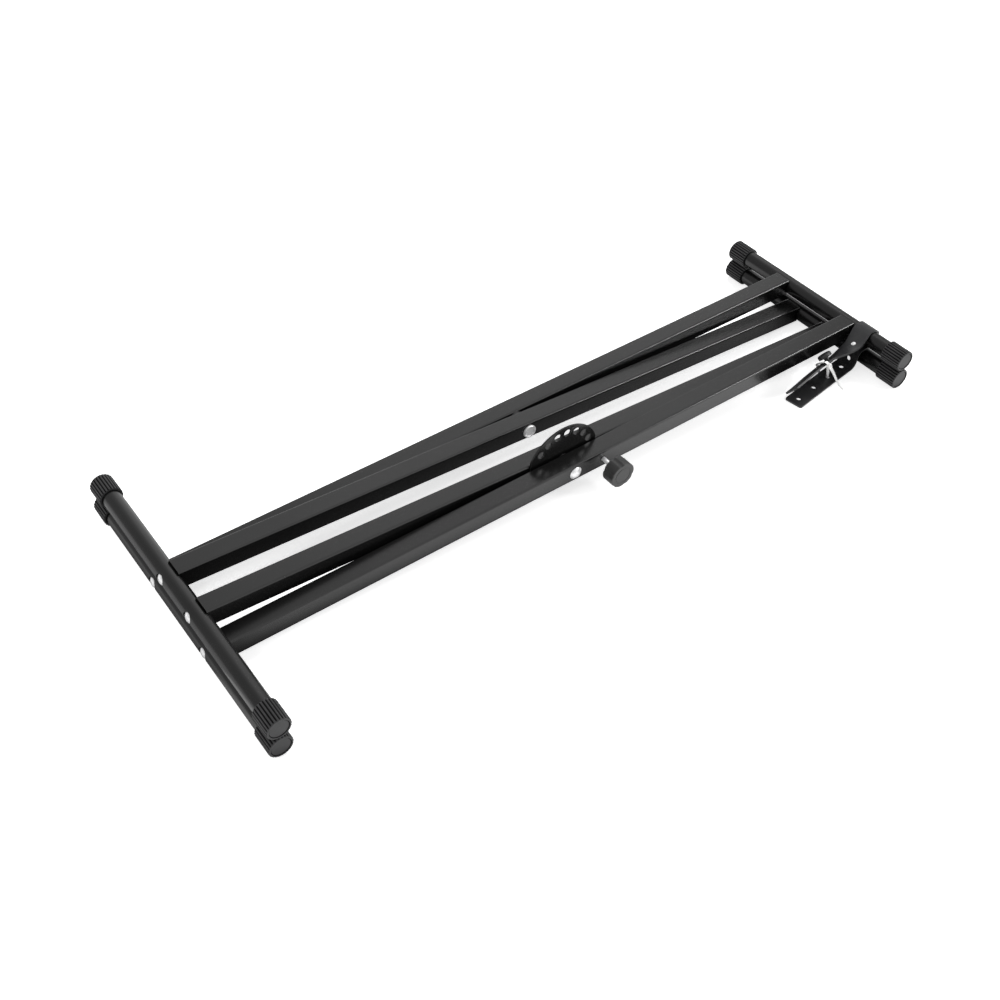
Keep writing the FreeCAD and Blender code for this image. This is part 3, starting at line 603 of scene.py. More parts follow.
def tubeRadiusAt(angle, y, barY, side):
    radius, seat, dish = picked(standValues, "tubeRadius", "seatReach", "dishReach")
    toBar = math.cos(angle) * side
    offset = min(abs(y - barY), abs(y + barY))
    if abs(toBar) <= tubeValues["leastFacing"]:
        return radius
    if toBar > 0:
        ramp = smoothStep((offset - (halfBar + tubeValues["seatRoom"])) / tubeValues["seatRamp"])
        plane = seat + ramp * 2 * (radius - seat)
    else:
        across = math.hypot(offset, radius * math.sin(angle))
        start = standValues["dishRadius"] - tubeValues["dishRamp"]
        ramp = smoothStep((across - start) / tubeValues["dishRamp"])
        plane = dish + ramp * (radius + tubeValues["dishMargin"] - dish)
    return softMin(radius, plane / abs(toBar), tubeValues["creaseWidth"])


def crossTube(name, span, barY, reach):
    side = -1 if reach > 0 else 1
    rings = []
    for y in tubeStations(span, barY):
        ring = []
        for angle in evenAngles(tubeValues["steps"]):
            radius = tubeRadiusAt(angle, y, barY, side)
            ring.append((reach + radius * math.cos(angle), y, radius * math.sin(angle)))
        rings.append(ring)
    return meshFrom(name, *closedGrid(rings))


for name, node, body, reach, span in tubes:
    tube = crossTube(name, span, barPlaces[body], reach)
    tube.transform(framePlaces[body])
    addPiece(name, tube, body, "black_paint", [node])


# ribbed end caps

print("making the caps")
capValues = {
    "ribs": 24, "ribTop": 0.0010, "grooveDepth": 0.0009, "endRound": 0.0018, "mouthRound": 0.0006,
    "rimWidth": 0.0009, "faceDepth": 0.0008, "faceRound": 0.0003, "cornerShadeReach": 0.0006,
    "boreRoom": 0.00002, "mouthSteps": 4, "endSteps": 6, "faceSteps": 3, "cornerShadeSteps": 2,
    "wallShares": (0.25, 0.5, 0.75), "faceShares": (0.7, 0.4), "sharpAngle": 32.0,
}
ribSpots = (0.0, 0.19, 0.26, 0.32, 0.42, 0.56, 0.76, 1.0)  # shares of half a rib's pitch


def capMesh():
    radius, length, endWall = picked(standValues, "capRadius", "capLength", "capEndWall")
    rounding, mouth, bend = picked(capValues, "endRound", "mouthRound", "faceRound")
    bore = standValues["tubeRadius"] + capValues["boreRoom"]
    rimInside = radius - rounding - capValues["rimWidth"]
    seat, face = length - endWall, length - capValues["faceDepth"]
    rows = [(seat, 0, 0), (seat, bore, 0), (mouth, bore, 0), (0, bore + mouth, 0), (0, radius - 2 * mouth, 0)]
    for height, reach in arcPoints((mouth, radius - mouth), mouth, -90, 0, capValues["mouthSteps"]):
        rows.append((height, reach, smoothStep((reach - radius + mouth) / mouth) if height < mouth else 1))
    for share in capValues["wallShares"]:
        rows.append((mouth + (length - rounding - mouth) * share, radius, 1))
    endArc = arcPoints((length - rounding, radius - rounding), rounding, 0, 90, capValues["endSteps"])
    for step, (height, reach) in enumerate(endArc):
        rows.append((height, reach, 1 - smoothStep(step / capValues["endSteps"])))
    for height, reach in arcPoints((length - bend, rimInside + bend), bend, 90, 180, capValues["faceSteps"]):
        rows.append((height, reach, 0))
    # the rings at the sunk face's inner corner are painted dark as shade
    corner = len(rows)
    for step in range(capValues["cornerShadeSteps"] + 1):
        rows.append((face, rimInside - capValues["cornerShadeReach"] * step, 0))
    rows += [(face, rimInside * share, 0) for share in capValues["faceShares"]] + [(face, 0, 0)]
    step = 2 * math.pi / capValues["ribs"]
    angles = []
    for rib in range(capValues["ribs"]):
        angles += [step * (rib + share / 2) for share in ribSpots[:-1]]
        angles += [step * (rib + 1 - share / 2) for share in reversed(ribSpots[1:])]
    plain = turned("cap", [(height, reach) for height, reach, share in rows], angles)
    # each ring's rib share, and a mark on the face's inner corner that the finish paints dark as shade
    shares = plain.attributes.new("ribShare", "FLOAT", "POINT")
    cornerShade = plain.attributes.new("cornerShare", "FLOAT", "POINT")
    for row, (height, reach, share) in enumerate(rows[1:-1]):
        for index in range(row * len(angles), (row + 1) * len(angles)):
            shares.data[index].value = share
            cornerShade.data[index].value = 1.0 if row + 1 in (corner, corner + 1) else 0.0
    half = step * radius / 2 - capValues["ribTop"] / 2
    grooveRadius = (half ** 2 + capValues["grooveDepth"] ** 2) / (2 * capValues["grooveDepth"])
    return runTree(plain, ribTree, {
        "Cap Radius": radius, "Rib Count": float(capValues["ribs"]),
        "Groove Radius": grooveRadius, "Groove Depth": capValues["grooveDepth"]}, "cap_rubber")


cap = capMesh()
for body in barPlaces:
    places = []
    nodes = []
    for name, node, tubeBody, reach, span in tubes:
        if tubeBody != body:
            continue
        centre = framePlaces[body] @ Vector((reach, 0, 0))
        mouthY = span / 2 - standValues["capLength"]
        for side, sideName in ((1, "back"), (-1, "front")):
            places.append((Vector((centre.x, side * mouthY, centre.z)), (-side * math.pi / 2, 0, 0)))
            nodes.append(node + "_cap_" + sideName)
    caps = copiesOf(cap, places, "cap_rubber")
    addPiece(prefixes[body] + "FrameCaps", caps, body, "cap_rubber", nodes, capValues["sharpAngle"])


# button screws in the dishes

print("making the screws and rivets")
screwValues = {
    "headRadius": 0.007, "headHeight": 0.0044, "edgeHeight": 0.0013, "edgeDrop": 0.0002,
    "edgeRound": 0.0003, "domeInset": 0.0001, "domeSteps": 6, "shankRadius": 0.004,
    "shankLength": 0.040, "tipBevel": 0.0006, "socketWidth": 0.005, "socketDepth": 0.0026,
    "socketCone": 0.0004, "mouthScale": 1.28, "rimRise": 0.00005, "rimDrop": 0.0003, "rimFlare": 1.05,
    "steps": 48, "sharpAngle": 40.0,
}


def screwMesh():
    # head on top of z = 0, shank below
    height, radius, edge = picked(screwValues, "headHeight", "headRadius", "edgeRound")
    shank, length, bevel = picked(screwValues, "shankRadius", "shankLength", "tipBevel")
    hexRadius = screwValues["socketWidth"] / 2
    edgeTop = screwValues["edgeHeight"] - screwValues["edgeDrop"]
    profile = [(-length, 0), (-length, shank - bevel), (-length + bevel, shank), (0, shank),
               (0, radius - edge), (edge, radius), (edgeTop, radius)]
    narrowing = radius - hexRadius * screwValues["mouthScale"]
    for step in range(screwValues["domeSteps"] + 1):
        reach = radius - screwValues["domeInset"] - narrowing * step / screwValues["domeSteps"]
        profile.append(domePoint(height, radius, height - screwValues["edgeHeight"], reach))
    rim = len(profile)
    top, bottom = profile[-1][0], height - screwValues["socketDepth"]
    profile += [(top + screwValues["rimRise"], hexRadius), (top - screwValues["rimDrop"], hexRadius),
                (bottom, hexRadius), (bottom - screwValues["socketCone"], 0)]

    def radiusAt(row, reach, angle):
        if row < rim:
            return reach
        turn = (angle + math.pi / 6) % (math.pi / 3) - math.pi / 6
        return reach / math.cos(turn) * (screwValues["rimFlare"] if row == rim else 1.0)
    return turned("screw", profile, evenAngles(screwValues["steps"]), radiusAt)


screw = screwMesh()
for body, barY in barPlaces.items():
    places = []
    for y in (-barY, barY):
        for reach, side in ((-footReach, -1), (armReach, 1)):
            spot = framePlaces[body] @ Vector((reach + side * standValues["dishReach"], y, 0))
            turn = (Matrix.Rotation(frameTurns[body], 3, "Y") @ Matrix.Rotation(side * math.pi / 2, 3, "Y"))
            places.append((spot, turn.to_euler()))
    screws = copiesOf(screw, places, "bright_zinc")
    addPiece(prefixes[body] + "FrameScrews", screws, body, "bright_zinc",
             [prefixes[body] + "_frame_screws"], screwValues["sharpAngle"])


# pivot rivets, one on each side

rivetValues = {
    "shankRadius": 0.005, "headRadius": 0.0085, "headHeight": 0.0042, "domeInset": 0.0002,
    "domeSteps": 10, "rollRadius": 0.009, "rollHeight": 0.0032, "rollBulge": 0.98, "rollSteps": 14,
    "craterRadius": 0.0067, "floorRadius": 0.0063, "floorDepth": 0.0018, "floorShare": 0.5,
    "roundHeight": 0.0003, "roundWidth": 0.0004, "play": 0.00015, "steps": 64, "sharpAngle": 50.0,
}


def rivetMesh():
    # along +Z from the middle of the stand outwards
    outerFace = standValues["outerBarY"] + halfBar
    rollBase = standValues["innerBarY"] - halfBar - rivetValues["play"]
    rollEnd = rollBase - rivetValues["rollHeight"]
    shank, head, tall = picked(rivetValues, "shankRadius", "headRadius", "headHeight")
    roll, crater, floor = picked(rivetValues, "rollRadius", "craterRadius", "floorRadius")
    upward, inward = picked(rivetValues, "roundHeight", "roundWidth")
    middle, half = (roll + crater) / 2, (roll - crater) / 2
    floorHeight = rollEnd + rivetValues["floorDepth"]
    profile = [(floorHeight, 0), (floorHeight, floor * rivetValues["floorShare"]),
               (floorHeight, floor - inward), (floorHeight - upward, floor)]
    for step in range(rivetValues["rollSteps"] + 1):
        angle = math.pi * (1 - step / rivetValues["rollSteps"])
        profile.append((rollEnd + half - half * math.sin(angle) * rivetValues["rollBulge"],
                        middle + half * math.cos(angle)))
    profile += [(rollBase - upward, roll), (rollBase, roll - inward), (rollBase, shank), (outerFace, shank),
                (outerFace, head - upward), (outerFace + upward, head)]
    for step in range(rivetValues["domeSteps"]):
        reach = (head - rivetValues["domeInset"]) * (1 - step / rivetValues["domeSteps"])
        profile.append(domePoint(outerFace + tall, head, tall, reach))
    profile.append((outerFace + tall, 0))
    return turned("rivet", profile, evenAngles(rivetValues["steps"]))


rivets = copiesOf(rivetMesh(), [(pivotPlace, (side * math.pi / 2, 0, 0)) for side in (1, -1)], "bright_zinc")
addPiece("pivotRivets", rivets, "outer_frame", "bright_zinc", ["pivot_rivet_front", "pivot_rivet_back"],
         rivetValues["sharpAngle"])


# height disc

print("making the disc, the pin and the knob")
discValues = {
    "radius": 0.0532, "thickness": 0.002, "halfWidth": 0.050, "lowerEdge": 0.011, "lowerCorner": 0.004,
    "holeRadius": 0.0049, "holes": 7, "firstAngle": 28.5, "stepAngle": 19.4, "arcSteps": 96,
    "cornerSteps": 8, "holeSteps": 48, "edgeRound": 0.00025, "sharpAngle": 60.0,
}


def discOutline():
    radius, half, corner, count = picked(discValues, "radius", "halfWidth", "lowerCorner", "arcSteps")
    start = math.acos(half / radius)
    outline = [(half, radius * math.sin(start))]
    for step in range(1, count):
        angle = start + (math.pi - 2 * start) * step / count
        outline.append((radius * math.cos(angle), radius * math.sin(angle)))
    outline.append((-half, radius * math.sin(start)))
    for side, quarter in ((-1, 2), (1, 3)):
        centre = (side * (half - corner), corner - discValues["lowerEdge"])
        outline += quarterRound(centre, corner, quarter, discValues["cornerSteps"])
    return outline


def heightDisc():
    angles = [math.radians(discValues["firstAngle"] + discValues["stepAngle"] * index)
              for index in range(discValues["holes"])]
    angles.append(foldedAngle)
    circle, size = standValues["pinCircle"], discValues["holeRadius"]
    holes = [(circle * math.cos(angle), circle * math.sin(angle), size) for angle in angles]
    holes.append((0, 0, rivetValues["shankRadius"]))
    plate = plateFrom(discOutline(), holes, discValues["thickness"], discValues["holeSteps"], "black_paint")
    lowest = min(vertex.co.z for vertex in plate.vertices)
    plate = bevelled(plate, discValues["edgeRound"])
    seat = standValues["innerBarY"] + halfBar
    standing = Matrix(((1, 0, 0, 0), (0, 0, -1, 0), (0, 1, 0, 0), (0, 0, 0, 1)))  # x, y, z become x, -z, y
    plate.transform(Matrix.Translation((0, -seat, 0)) @ standing @ Matrix.Translation((0, 0, -lowest)))
    return plate


disc = heightDisc()
disc.transform(framePlaces["inner_frame"])
addPiece("heightDisc", disc, "inner_frame", "black_paint", ["height_disc"], discValues["sharpAngle"])


# the two flush rivets that hold the disc

discRivetValues = {
    "headRadius": 0.0042, "shankRadius": 0.0024, "spacing": 0.040, "tailEnd": 0.0052,
    "tailStart": 0.0032, "tailRadius": 0.0036, "tailEndRadius": 0.0030, "headDrop": 0.0002,
    "headInset": 0.0001, "crownHeight": 0.0001, "topHeight": 0.00012, "crownShare": 0.6, "steps": 32,
}


def discRivet():
    # the disc's front face is at z = 0
    head, shank, inset = picked(discRivetValues, "headRadius", "shankRadius", "headInset")
    tailEnd, tailStart = -discRivetValues["tailEnd"], -discRivetValues["tailStart"]
    profile = [(tailEnd, 0), (tailEnd, discRivetValues["tailEndRadius"]),
               (tailStart, discRivetValues["tailRadius"]), (tailStart, shank),
               (-discValues["thickness"], shank), (-discRivetValues["headDrop"], head - inset),
               (0, head - 2 * inset), (discRivetValues["crownHeight"], head * discRivetValues["crownShare"]),
               (discRivetValues["topHeight"], 0)]
    return turned("flatRivet", profile, evenAngles(discRivetValues["steps"]))


discFront = standValues["innerBarY"] + halfBar + discValues["thickness"]
spots = [(framePlaces["inner_frame"] @ Vector((side * discRivetValues["spacing"] / 2, -discFront, 0)),
          (math.pi / 2, 0, 0)) for side in (-1, 1)]
discRivets = copiesOf(discRivet(), spots, "bright_zinc")
addPiece("discRivets", discRivets, "inner_frame", "bright_zinc", ["disc_rivets"])


# pull pin, its bush and its knob, each turned about +Z and then laid along -Y

pinValues = {
    "radius": 0.004, "tipBevel": 0.0008, "tipRetreat": 0.0002, "shoulderBack": 0.0118,
    "shoulderRound": 0.0002, "stemRadius": 0.003, "stemInKnob": 0.012, "knobGap": 0.0192, "steps": 48,
}
outerSeatY = standValues["outerBarY"] - halfBar
outerFaceY = standValues["outerBarY"] + halfBar
toFront = Matrix.Rotation(math.pi / 2, 4, "X")  # +Z becomes -Y
pinPlace = framePlaces["outer_frame"] @ Matrix.Translation((standValues["pinCircle"], 0, 0)) @ toFront


def pullPin():
    tip = outerSeatY + pinValues["tipRetreat"]
    shoulder = tip + pinValues["shoulderBack"]
    end = outerFaceY + pinValues["knobGap"] + pinValues["stemInKnob"]
    radius, stem, slope, rounding = picked(pinValues, "radius", "stemRadius", "tipBevel", "shoulderRound")
    profile = [(tip, 0), (tip, radius - slope), (tip + slope, radius), (shoulder - rounding, radius),
               (shoulder, radius - rounding), (shoulder, stem), (end, stem), (end, 0)]
    return turned("pullPin", profile, evenAngles(pinValues["steps"]))


bushValues = {
    "radius": 0.005, "shoulderRadius": 0.0075, "shoulderLength": 0.0038, "shoulderRound": 0.0003,
    "wall": 0.0012, "boreRoom": 0.00005, "lipStart": 0.0001, "lipHeight": 0.00015, "lipRound": 0.0004,
    "mouthRound": 0.0003, "steps": 48,
}


def guideBush():
    inside = outerFaceY - bushValues["wall"]
    last = inside - bushValues["shoulderLength"]
    bore = pinValues["stemRadius"] + bushValues["boreRoom"]
    radius, shoulder, rounding = picked(bushValues, "radius", "shoulderRadius", "shoulderRound")
    lipLow, lipTop = outerFaceY - bushValues["lipStart"], outerFaceY + bushValues["lipHeight"]
    outline = [(last, bore), (last, shoulder - rounding), (last + rounding, shoulder), (inside, shoulder),
               (inside, radius), (lipLow, radius), (lipTop, radius - bushValues["lipRound"]),
               (lipTop, bore + bushValues["mouthRound"]), (lipLow, bore)]
    rings = [[(reach * math.cos(angle), reach * math.sin(angle), height)
              for angle in evenAngles(bushValues["steps"])] for height, reach in outline]
    return meshFrom("guideBush", *loopedGrid(rings))


knobValues = {
    "radius": 0.0175, "thickness": 0.0176, "scallops": 6, "scallopRadius": 0.009,
    "scallopDepth": 0.0009, "firstScallop": 100.0, "edgeRound": 0.0012, "edgeSteps": 6,
    "ringRadius": 0.0115, "ringDepth": 0.0005, "ringWidth": 0.0008, "ringBevel": 0.00015,
    "stemRoom": 0.0004, "wallShares": (0.3, 0.5, 0.7), "faceShare": 0.5, "steps": 240, "softness": 0.0004,
}


def pinKnob():
    radius, thick, rounding = picked(knobValues, "radius", "thickness", "edgeRound")
    inner = outerFaceY + pinValues["knobGap"]
    outer = inner + thick
    ring, slope = knobValues["ringRadius"], knobValues["ringBevel"]
    ringInside, floor = ring - knobValues["ringWidth"], outer - knobValues["ringDepth"]
    profile = [(inner, 0), (inner, pinValues["stemRadius"] + knobValues["stemRoom"]), (inner, ring)]
    wallStart = len(profile)
    profile += arcPoints((inner + rounding, radius - rounding), rounding, -90, 0, knobValues["edgeSteps"])
    profile += [(inner + thick * share, radius) for share in knobValues["wallShares"]]
    profile += arcPoints((outer - rounding, radius - rounding), rounding, 0, 90, knobValues["edgeSteps"])
    wallEnd = len(profile)
    profile += [(outer, ring + slope), (outer - slope, ring), (floor, ring - slope),
                (floor, ringInside + slope), (outer - slope, ringInside), (outer, ringInside - slope),
                (outer, ring * knobValues["faceShare"]), (outer, 0)]
    axis = radius - knobValues["scallopDepth"] + knobValues["scallopRadius"]
    step = 2 * math.pi / knobValues["scallops"]

    def radiusAt(row, reach, angle):
        if row < wallStart or row >= wallEnd:
            return reach
        # the part turns by toFront, which keeps the angle seen in the bar's plane
        turn = (angle - math.radians(knobValues["firstScallop"]) + step / 2) % step - step / 2
        aside = axis * math.sin(turn)
        if abs(aside) >= knobValues["scallopRadius"]:
            return reach
        wall = axis * math.cos(turn) - math.sqrt(knobValues["scallopRadius"] ** 2 - aside ** 2)
        return reach - (radius - softMin(radius, wall, knobValues["softness"]))
    return turned("pinKnob", profile, evenAngles(knobValues["steps"]), radiusAt)


for name, mesh, body, slotName, node, finish in (
        ("pullPin", pullPin(), "pull_pin", "bright_zinc", "pull_pin", None),
        ("guideBush", guideBush(), "outer_frame", "spring_steel", "pin_guide_bush", "blackSteel"),
        ("pinKnob", pinKnob(), "pull_pin", "knob_plastic", "pin_knob", None)):
    mesh.transform(pinPlace)
    addPiece(name, mesh, body, slotName, [node], finish=finish)


# rubber strap: a flat strip with its holes, bent along its route

print("making the strap and the tie")
strapValues = {
    "width": 0.026, "thickness": 0.0025, "tubeGap": 0.0003, "barGap": 0.003, "floorGap": 0.0003,
    "tailSpan": 0.1443, "tailDrift": 0.0172, "bandSpan": 0.1408, "bandDrift": 0.007,
    "bandDrop": 0.0423, "holeRadius": 0.00325, "wrapStart": -90.0, "wrapEnd": 118.0,
    "wrapSteps": 12, "twist": 52.0, "cornerRound": 0.003, "cornerSteps": 6, "edgeRound": 0.0004,
    "bendStep": 0.0016, "holeSteps": 28, "sharpAngle": 60.0,
}
tailShares = [  # share of the span, of the drift and of the height
    (0.060, 0.00, 1.000), (0.100, 0.00, 0.945), (0.125, 0.00, 0.830), (0.141, 0.00, 0.640),
    (0.148, 0.00, 0.420), (0.163, 0.00, 0.220), (0.194, 0.00, 0.105), (0.232, 0.00, 0.060),
    (0.310, 0.09, 0.045), (0.456, 0.28, 0.045), (0.676, 0.57, 0.030), (0.911, 0.88, 0.008),
    (1.000, 1.00, 0.000)]
bandShares = [  # share of the span, of the drift, of the drop and of the twist
    (0.121, 0.43, 0.132, 0.10), (0.200, 0.86, 0.279, 0.25), (0.320, 0.70, 0.433, 0.58),
    (0.487, 0.21, 0.630, 0.96), (0.562, 0.17, 0.703, 1.00), (0.710, 0.29, 0.835, 1.00),
    (0.852, 0.64, 0.927, 1.00), (1.000, 1.00, 1.000, 1.00)]
# stations of the tail and of the band that have a hole, the tie or the stud
tailHoles = (4, 7, 9, 10, 11)
bandHoles = (1, 5)
tieTail, tieBand, studBand = 9, 4, 3


def strapRoute():
    tube = framePlaces["outer_frame"] @ Vector((armReach, 0, 0))
    halfThick, steps = strapValues["thickness"] / 2, strapValues["wrapSteps"]
    wrapRadius = standValues["tubeRadius"] + strapValues["tubeGap"] + halfThick
    middleY = -(outerFaceY + strapValues["barGap"] + strapValues["width"] / 2)
    lying = strapValues["floorGap"] + halfThick
    start, end = math.radians(strapValues["wrapStart"]), math.radians(strapValues["wrapEnd"])
    bandTop = tube.z + wrapRadius * math.sin(end)
    centres = []
    acrosses = []
    for along, aside, drop, twist in reversed(bandShares):
        centres.append(Vector((
            tube.x - along * strapValues["bandSpan"], middleY - aside * strapValues["bandDrift"],
            bandTop - drop * strapValues["bandDrop"])))
        angle = math.radians(twist * strapValues["twist"])
        acrosses.append(Vector((0, math.cos(angle), -math.sin(angle))))
    for step in range(steps + 1):
        angle = end + (start - end) * step / steps
        centres.append(Vector((tube.x + wrapRadius * math.cos(angle), middleY,
                               tube.z + wrapRadius * math.sin(angle))))
    for along, aside, height in tailShares:
        centres.append(Vector((
            tube.x - along * strapValues["tailSpan"], middleY - aside * strapValues["tailDrift"],
            lying + height * (tube.z - wrapRadius - lying))))
    acrosses += [Vector((0, 1, 0))] * (len(centres) - len(acrosses))
    return centres, acrosses


class RoutePath:
    # a smooth line through the stations, read by length along them
    sampleStep = 0.0002

    def __init__(self, centres, acrosses):
        self.centres, self.acrosses = centres, acrosses
        self.marks = [0.0]
        for before, after in zip(centres[:-1], centres[1:]):
            self.marks.append(self.marks[-1] + (after - before).length)
        self.slopes = [self.slopeAt(self.centres, index) for index in range(len(centres))]
        self.turns = [self.slopeAt(self.acrosses, index) for index in range(len(centres))]

    def slopeAt(self, values, index):
        low, high = max(index - 1, 0), min(index + 1, len(values) - 1)
        if low == index or high == index:
            return (values[high] - values[low]) / (self.marks[high] - self.marks[low])
        before = self.marks[index] - self.marks[low]
        after = self.marks[high] - self.marks[index]
        first = (values[index] - values[low]) / before
        second = (values[high] - values[index]) / after
        return (first * after + second * before) / (before + after)

    def blendAt(self, values, slopes, mark):
        index = 0
        while index < len(self.marks) - 2 and self.marks[index + 1] < mark:
            index += 1
        gap = self.marks[index + 1] - self.marks[index]
        share = (mark - self.marks[index]) / gap
        square, cube = share ** 2, share ** 3
        return (values[index] * (2 * cube - 3 * square + 1)
                + slopes[index] * gap * (cube - 2 * square + share)
                + values[index + 1] * (3 * square - 2 * cube)
                + slopes[index + 1] * gap * (cube - square))

    def frameAt(self, mark):
        centre = self.blendAt(self.centres, self.slopes, mark)
        ahead = self.blendAt(self.centres, self.slopes, mark + self.sampleStep)
        behind = self.blendAt(self.centres, self.slopes, mark - self.sampleStep)
        along = (ahead - behind).normalized()
        across = self.blendAt(self.acrosses, self.turns, mark)
        across = (across - along * across.dot(along)).normalized()
        return centre, along, across, along.cross(across)


def bentAlong(mesh, path, step):
    # a flat strip in x, y, z becomes one along the path: x runs along it, y across, z out of it
    shape = bmesh.new()
    shape.from_mesh(mesh)
    mark = step
    while mark < path.marks[-1]:
        everything = shape.verts[:] + shape.edges[:] + shape.faces[:]
        bmesh.ops.bisect_plane(
            shape, geom=everything, plane_co=(mark, 0, 0), plane_no=(1, 0, 0), dist=weldDistance)
        mark += step
    for vertex in shape.verts:
        centre, along, across, out = path.frameAt(vertex.co.x)
        vertex.co = centre + across * vertex.co.y + out * vertex.co.z
    bmesh.ops.recalc_face_normals(shape, faces=shape.faces)
    shape.to_mesh(mesh)
    shape.free()


centres, acrosses = strapRoute()
strapPath = RoutePath(centres, acrosses)
strapLength = strapPath.marks[-1]
# the marks of the band's stations, counted from the tube, and of the tail's
bandMarks = strapPath.marks[len(bandShares) - 1::-1]
tailStart = len(bandShares) + strapValues["wrapSteps"] + 1
tailMarks = strapPath.marks[tailStart:]
holeMarks = [bandMarks[station] for station in bandHoles] + [tailMarks[station] for station in tailHoles]
halfWidth = strapValues["width"] / 2
strip = plateFrom(
    roundedRectangle((0, -halfWidth), (strapLength, halfWidth), strapValues["cornerRound"],
                     strapValues["cornerSteps"]),
    [(mark, 0, strapValues["holeRadius"]) for mark in holeMarks],
    strapValues["thickness"], strapValues["holeSteps"], "strap_rubber")
strip = bevelled(strip, strapValues["edgeRound"])
heights = [vertex.co.z for vertex in strip.vertices]
strip.transform(Matrix.Translation((0, 0, -(min(heights) + max(heights)) / 2)))
bentAlong(strip, strapPath, strapValues["bendStep"])
addPiece("rubberStrap", strip, "outer_frame", "strap_rubber", ["strap"], strapValues["sharpAngle"])


# snap stud on the upper band

studValues = {
    "headRadius": 0.0095, "headHeight": 0.0055, "headRound": 0.002, "headSteps": 8, "stemRadius": 0.0034,
    "stemLength": 0.005, "footRadius": 0.006, "footHeight": 0.0016, "footRoom": 0.0003, "dish": 0.0004,
    "dishShares": (0.8, 0.66, 0.3), "edgeRound": 0.0004, "neckRound": 0.0005, "steps": 56,
}


def strapStud():
    head, tall, rounding = picked(studValues, "headRadius", "headHeight", "headRound")
    foot, footHeight, stem = picked(studValues, "footRadius", "footHeight", "stemRadius")
    edge, bend = picked(studValues, "edgeRound", "neckRound")
    neck = footHeight + studValues["footRoom"] + strapValues["thickness"] + studValues["stemLength"]
    top, flat = neck + tall, head - rounding
    floor = top - studValues["dish"]
    rim, inside, middle = studValues["dishShares"]
    profile = [(0, 0), (0, foot - edge), (edge, foot), (footHeight - edge, foot), (footHeight, foot - edge),
               (footHeight, stem), (neck - bend, stem), (neck, stem + bend), (neck, head - edge),
               (neck + edge, head)]
    profile += arcPoints((top - rounding, flat), rounding, 0, 90, studValues["headSteps"])
    profile += [(top, flat * rim), (floor, flat * inside), (floor, flat * middle), (floor, 0)]
    return turned("strapStud", profile, evenAngles(studValues["steps"]))


def setOnStrap(mesh, mark, lift):
    # the mesh stands on the strap's upper side, raised by the lift from the middle of its thickness
    centre, along, across, out = strapPath.frameAt(mark)
    if out.z < 0:
        out = -out
    first = (along - out * along.dot(out)).normalized()
    turn = Matrix((first, out.cross(first), out)).transposed().to_4x4()
    mesh.transform(Matrix.Translation(centre + out * lift) @ turn)


stud = strapStud()
setOnStrap(stud, bandMarks[studBand],
           -(strapValues["thickness"] / 2 + studValues["footRoom"] + studValues["footHeight"]))
addPiece("strapStud", stud, "outer_frame", "stud_plastic", ["strap_stud"])


# snap socket set in the band's upper hole

snapValues = {
    "radius": 0.0031, "halfHeight": 0.0013, "edgeRound": 0.0003, "edgeSteps": 4, "lip": 0.0006,
    "domeHeight": 0.0006, "domeFoot": 0.85, "domeShares": (0.6, 0.4, 0.2, 0.0), "steps": 40,
}


def strapSnap():
    radius, half, rounding = picked(snapValues, "radius", "halfHeight", "edgeRound")
    inside, steps = radius - snapValues["lip"], snapValues["edgeSteps"]
    profile = [(-half, 0)]
    profile += arcPoints((rounding - half, radius - rounding), rounding, -90, 0, steps)
    profile += arcPoints((half - rounding, radius - rounding), rounding, 0, 90, steps)
    profile += [(half - rounding, inside), (half, inside * snapValues["domeFoot"])]
    profile += [(half + snapValues["domeHeight"] * (1 - share ** 2), inside * share)
                for share in snapValues["domeShares"]]
    return turned("strapSnap", profile, evenAngles(snapValues["steps"]))


snap = strapSnap()
setOnStrap(snap, holeMarks[0], 0.0)
addPiece("strapSnap", snap, "outer_frame", "bright_zinc", [])


# cable tie: a closed loop, its head and its cut end

tieValues = {
    "width": 0.0048, "thickness": 0.0012, "corner": 0.0015, "cornerSteps": 8, "floorGap": 0.0003,
    "farRoom": 0.0024, "frontRoom": 0.0036, "topRoom": 0.008, "headLength": 0.0065, "headDepth": 0.0045,
    "headGap": 0.0004, "headRound": 0.0008, "headRoundSteps": 4, "headAngle": 30.0, "tipWidth": 0.0016,
    "tailReach": 0.020, "edgeRound": 0.0003, "edgeSteps": 3, "step": 0.0006, "sharpAngle": 40.0,
}
# share of the cut end's reach and of its height
tieTailShares = [
    (0.00, 1.00), (0.10, 0.97), (0.24, 0.86), (0.40, 0.60), (0.58, 0.30), (0.78, 0.10), (1.00, 0.00)]
sideways = Vector((1, 0, 0))


def roundedLoop(corners, radius, steps):
    # points of a closed line in y, z with rounded corners
    points = [Vector((0, y, z)) for y, z in corners]
    made = []
    for index, point in enumerate(points):
        before = (points[index - 1] - point).normalized()
        after = (points[(index + 1) % len(points)] - point).normalized()
        halfAngle = before.angle(after) / 2
        centre = point + (before + after).normalized() * (radius / math.sin(halfAngle))
        start = point + before * (radius / math.tan(halfAngle)) - centre
        end = point + after * (radius / math.tan(halfAngle)) - centre
        for step in range(steps + 1):
            made.append(centre + start.slerp(end, step / steps).normalized() * radius)
    return made


tieWidth, tieThick, tieGap = picked(tieValues, "width", "thickness", "floorGap")


def tieRing(centre, across, out, width):
    half, thick = width / 2, tieThick / 2
    section = roundedRectangle((-half, -thick), (half, thick), tieValues["edgeRound"], tieValues["edgeSteps"])
    return [tuple(centre + across * aside + out * rise) for aside, rise in section]


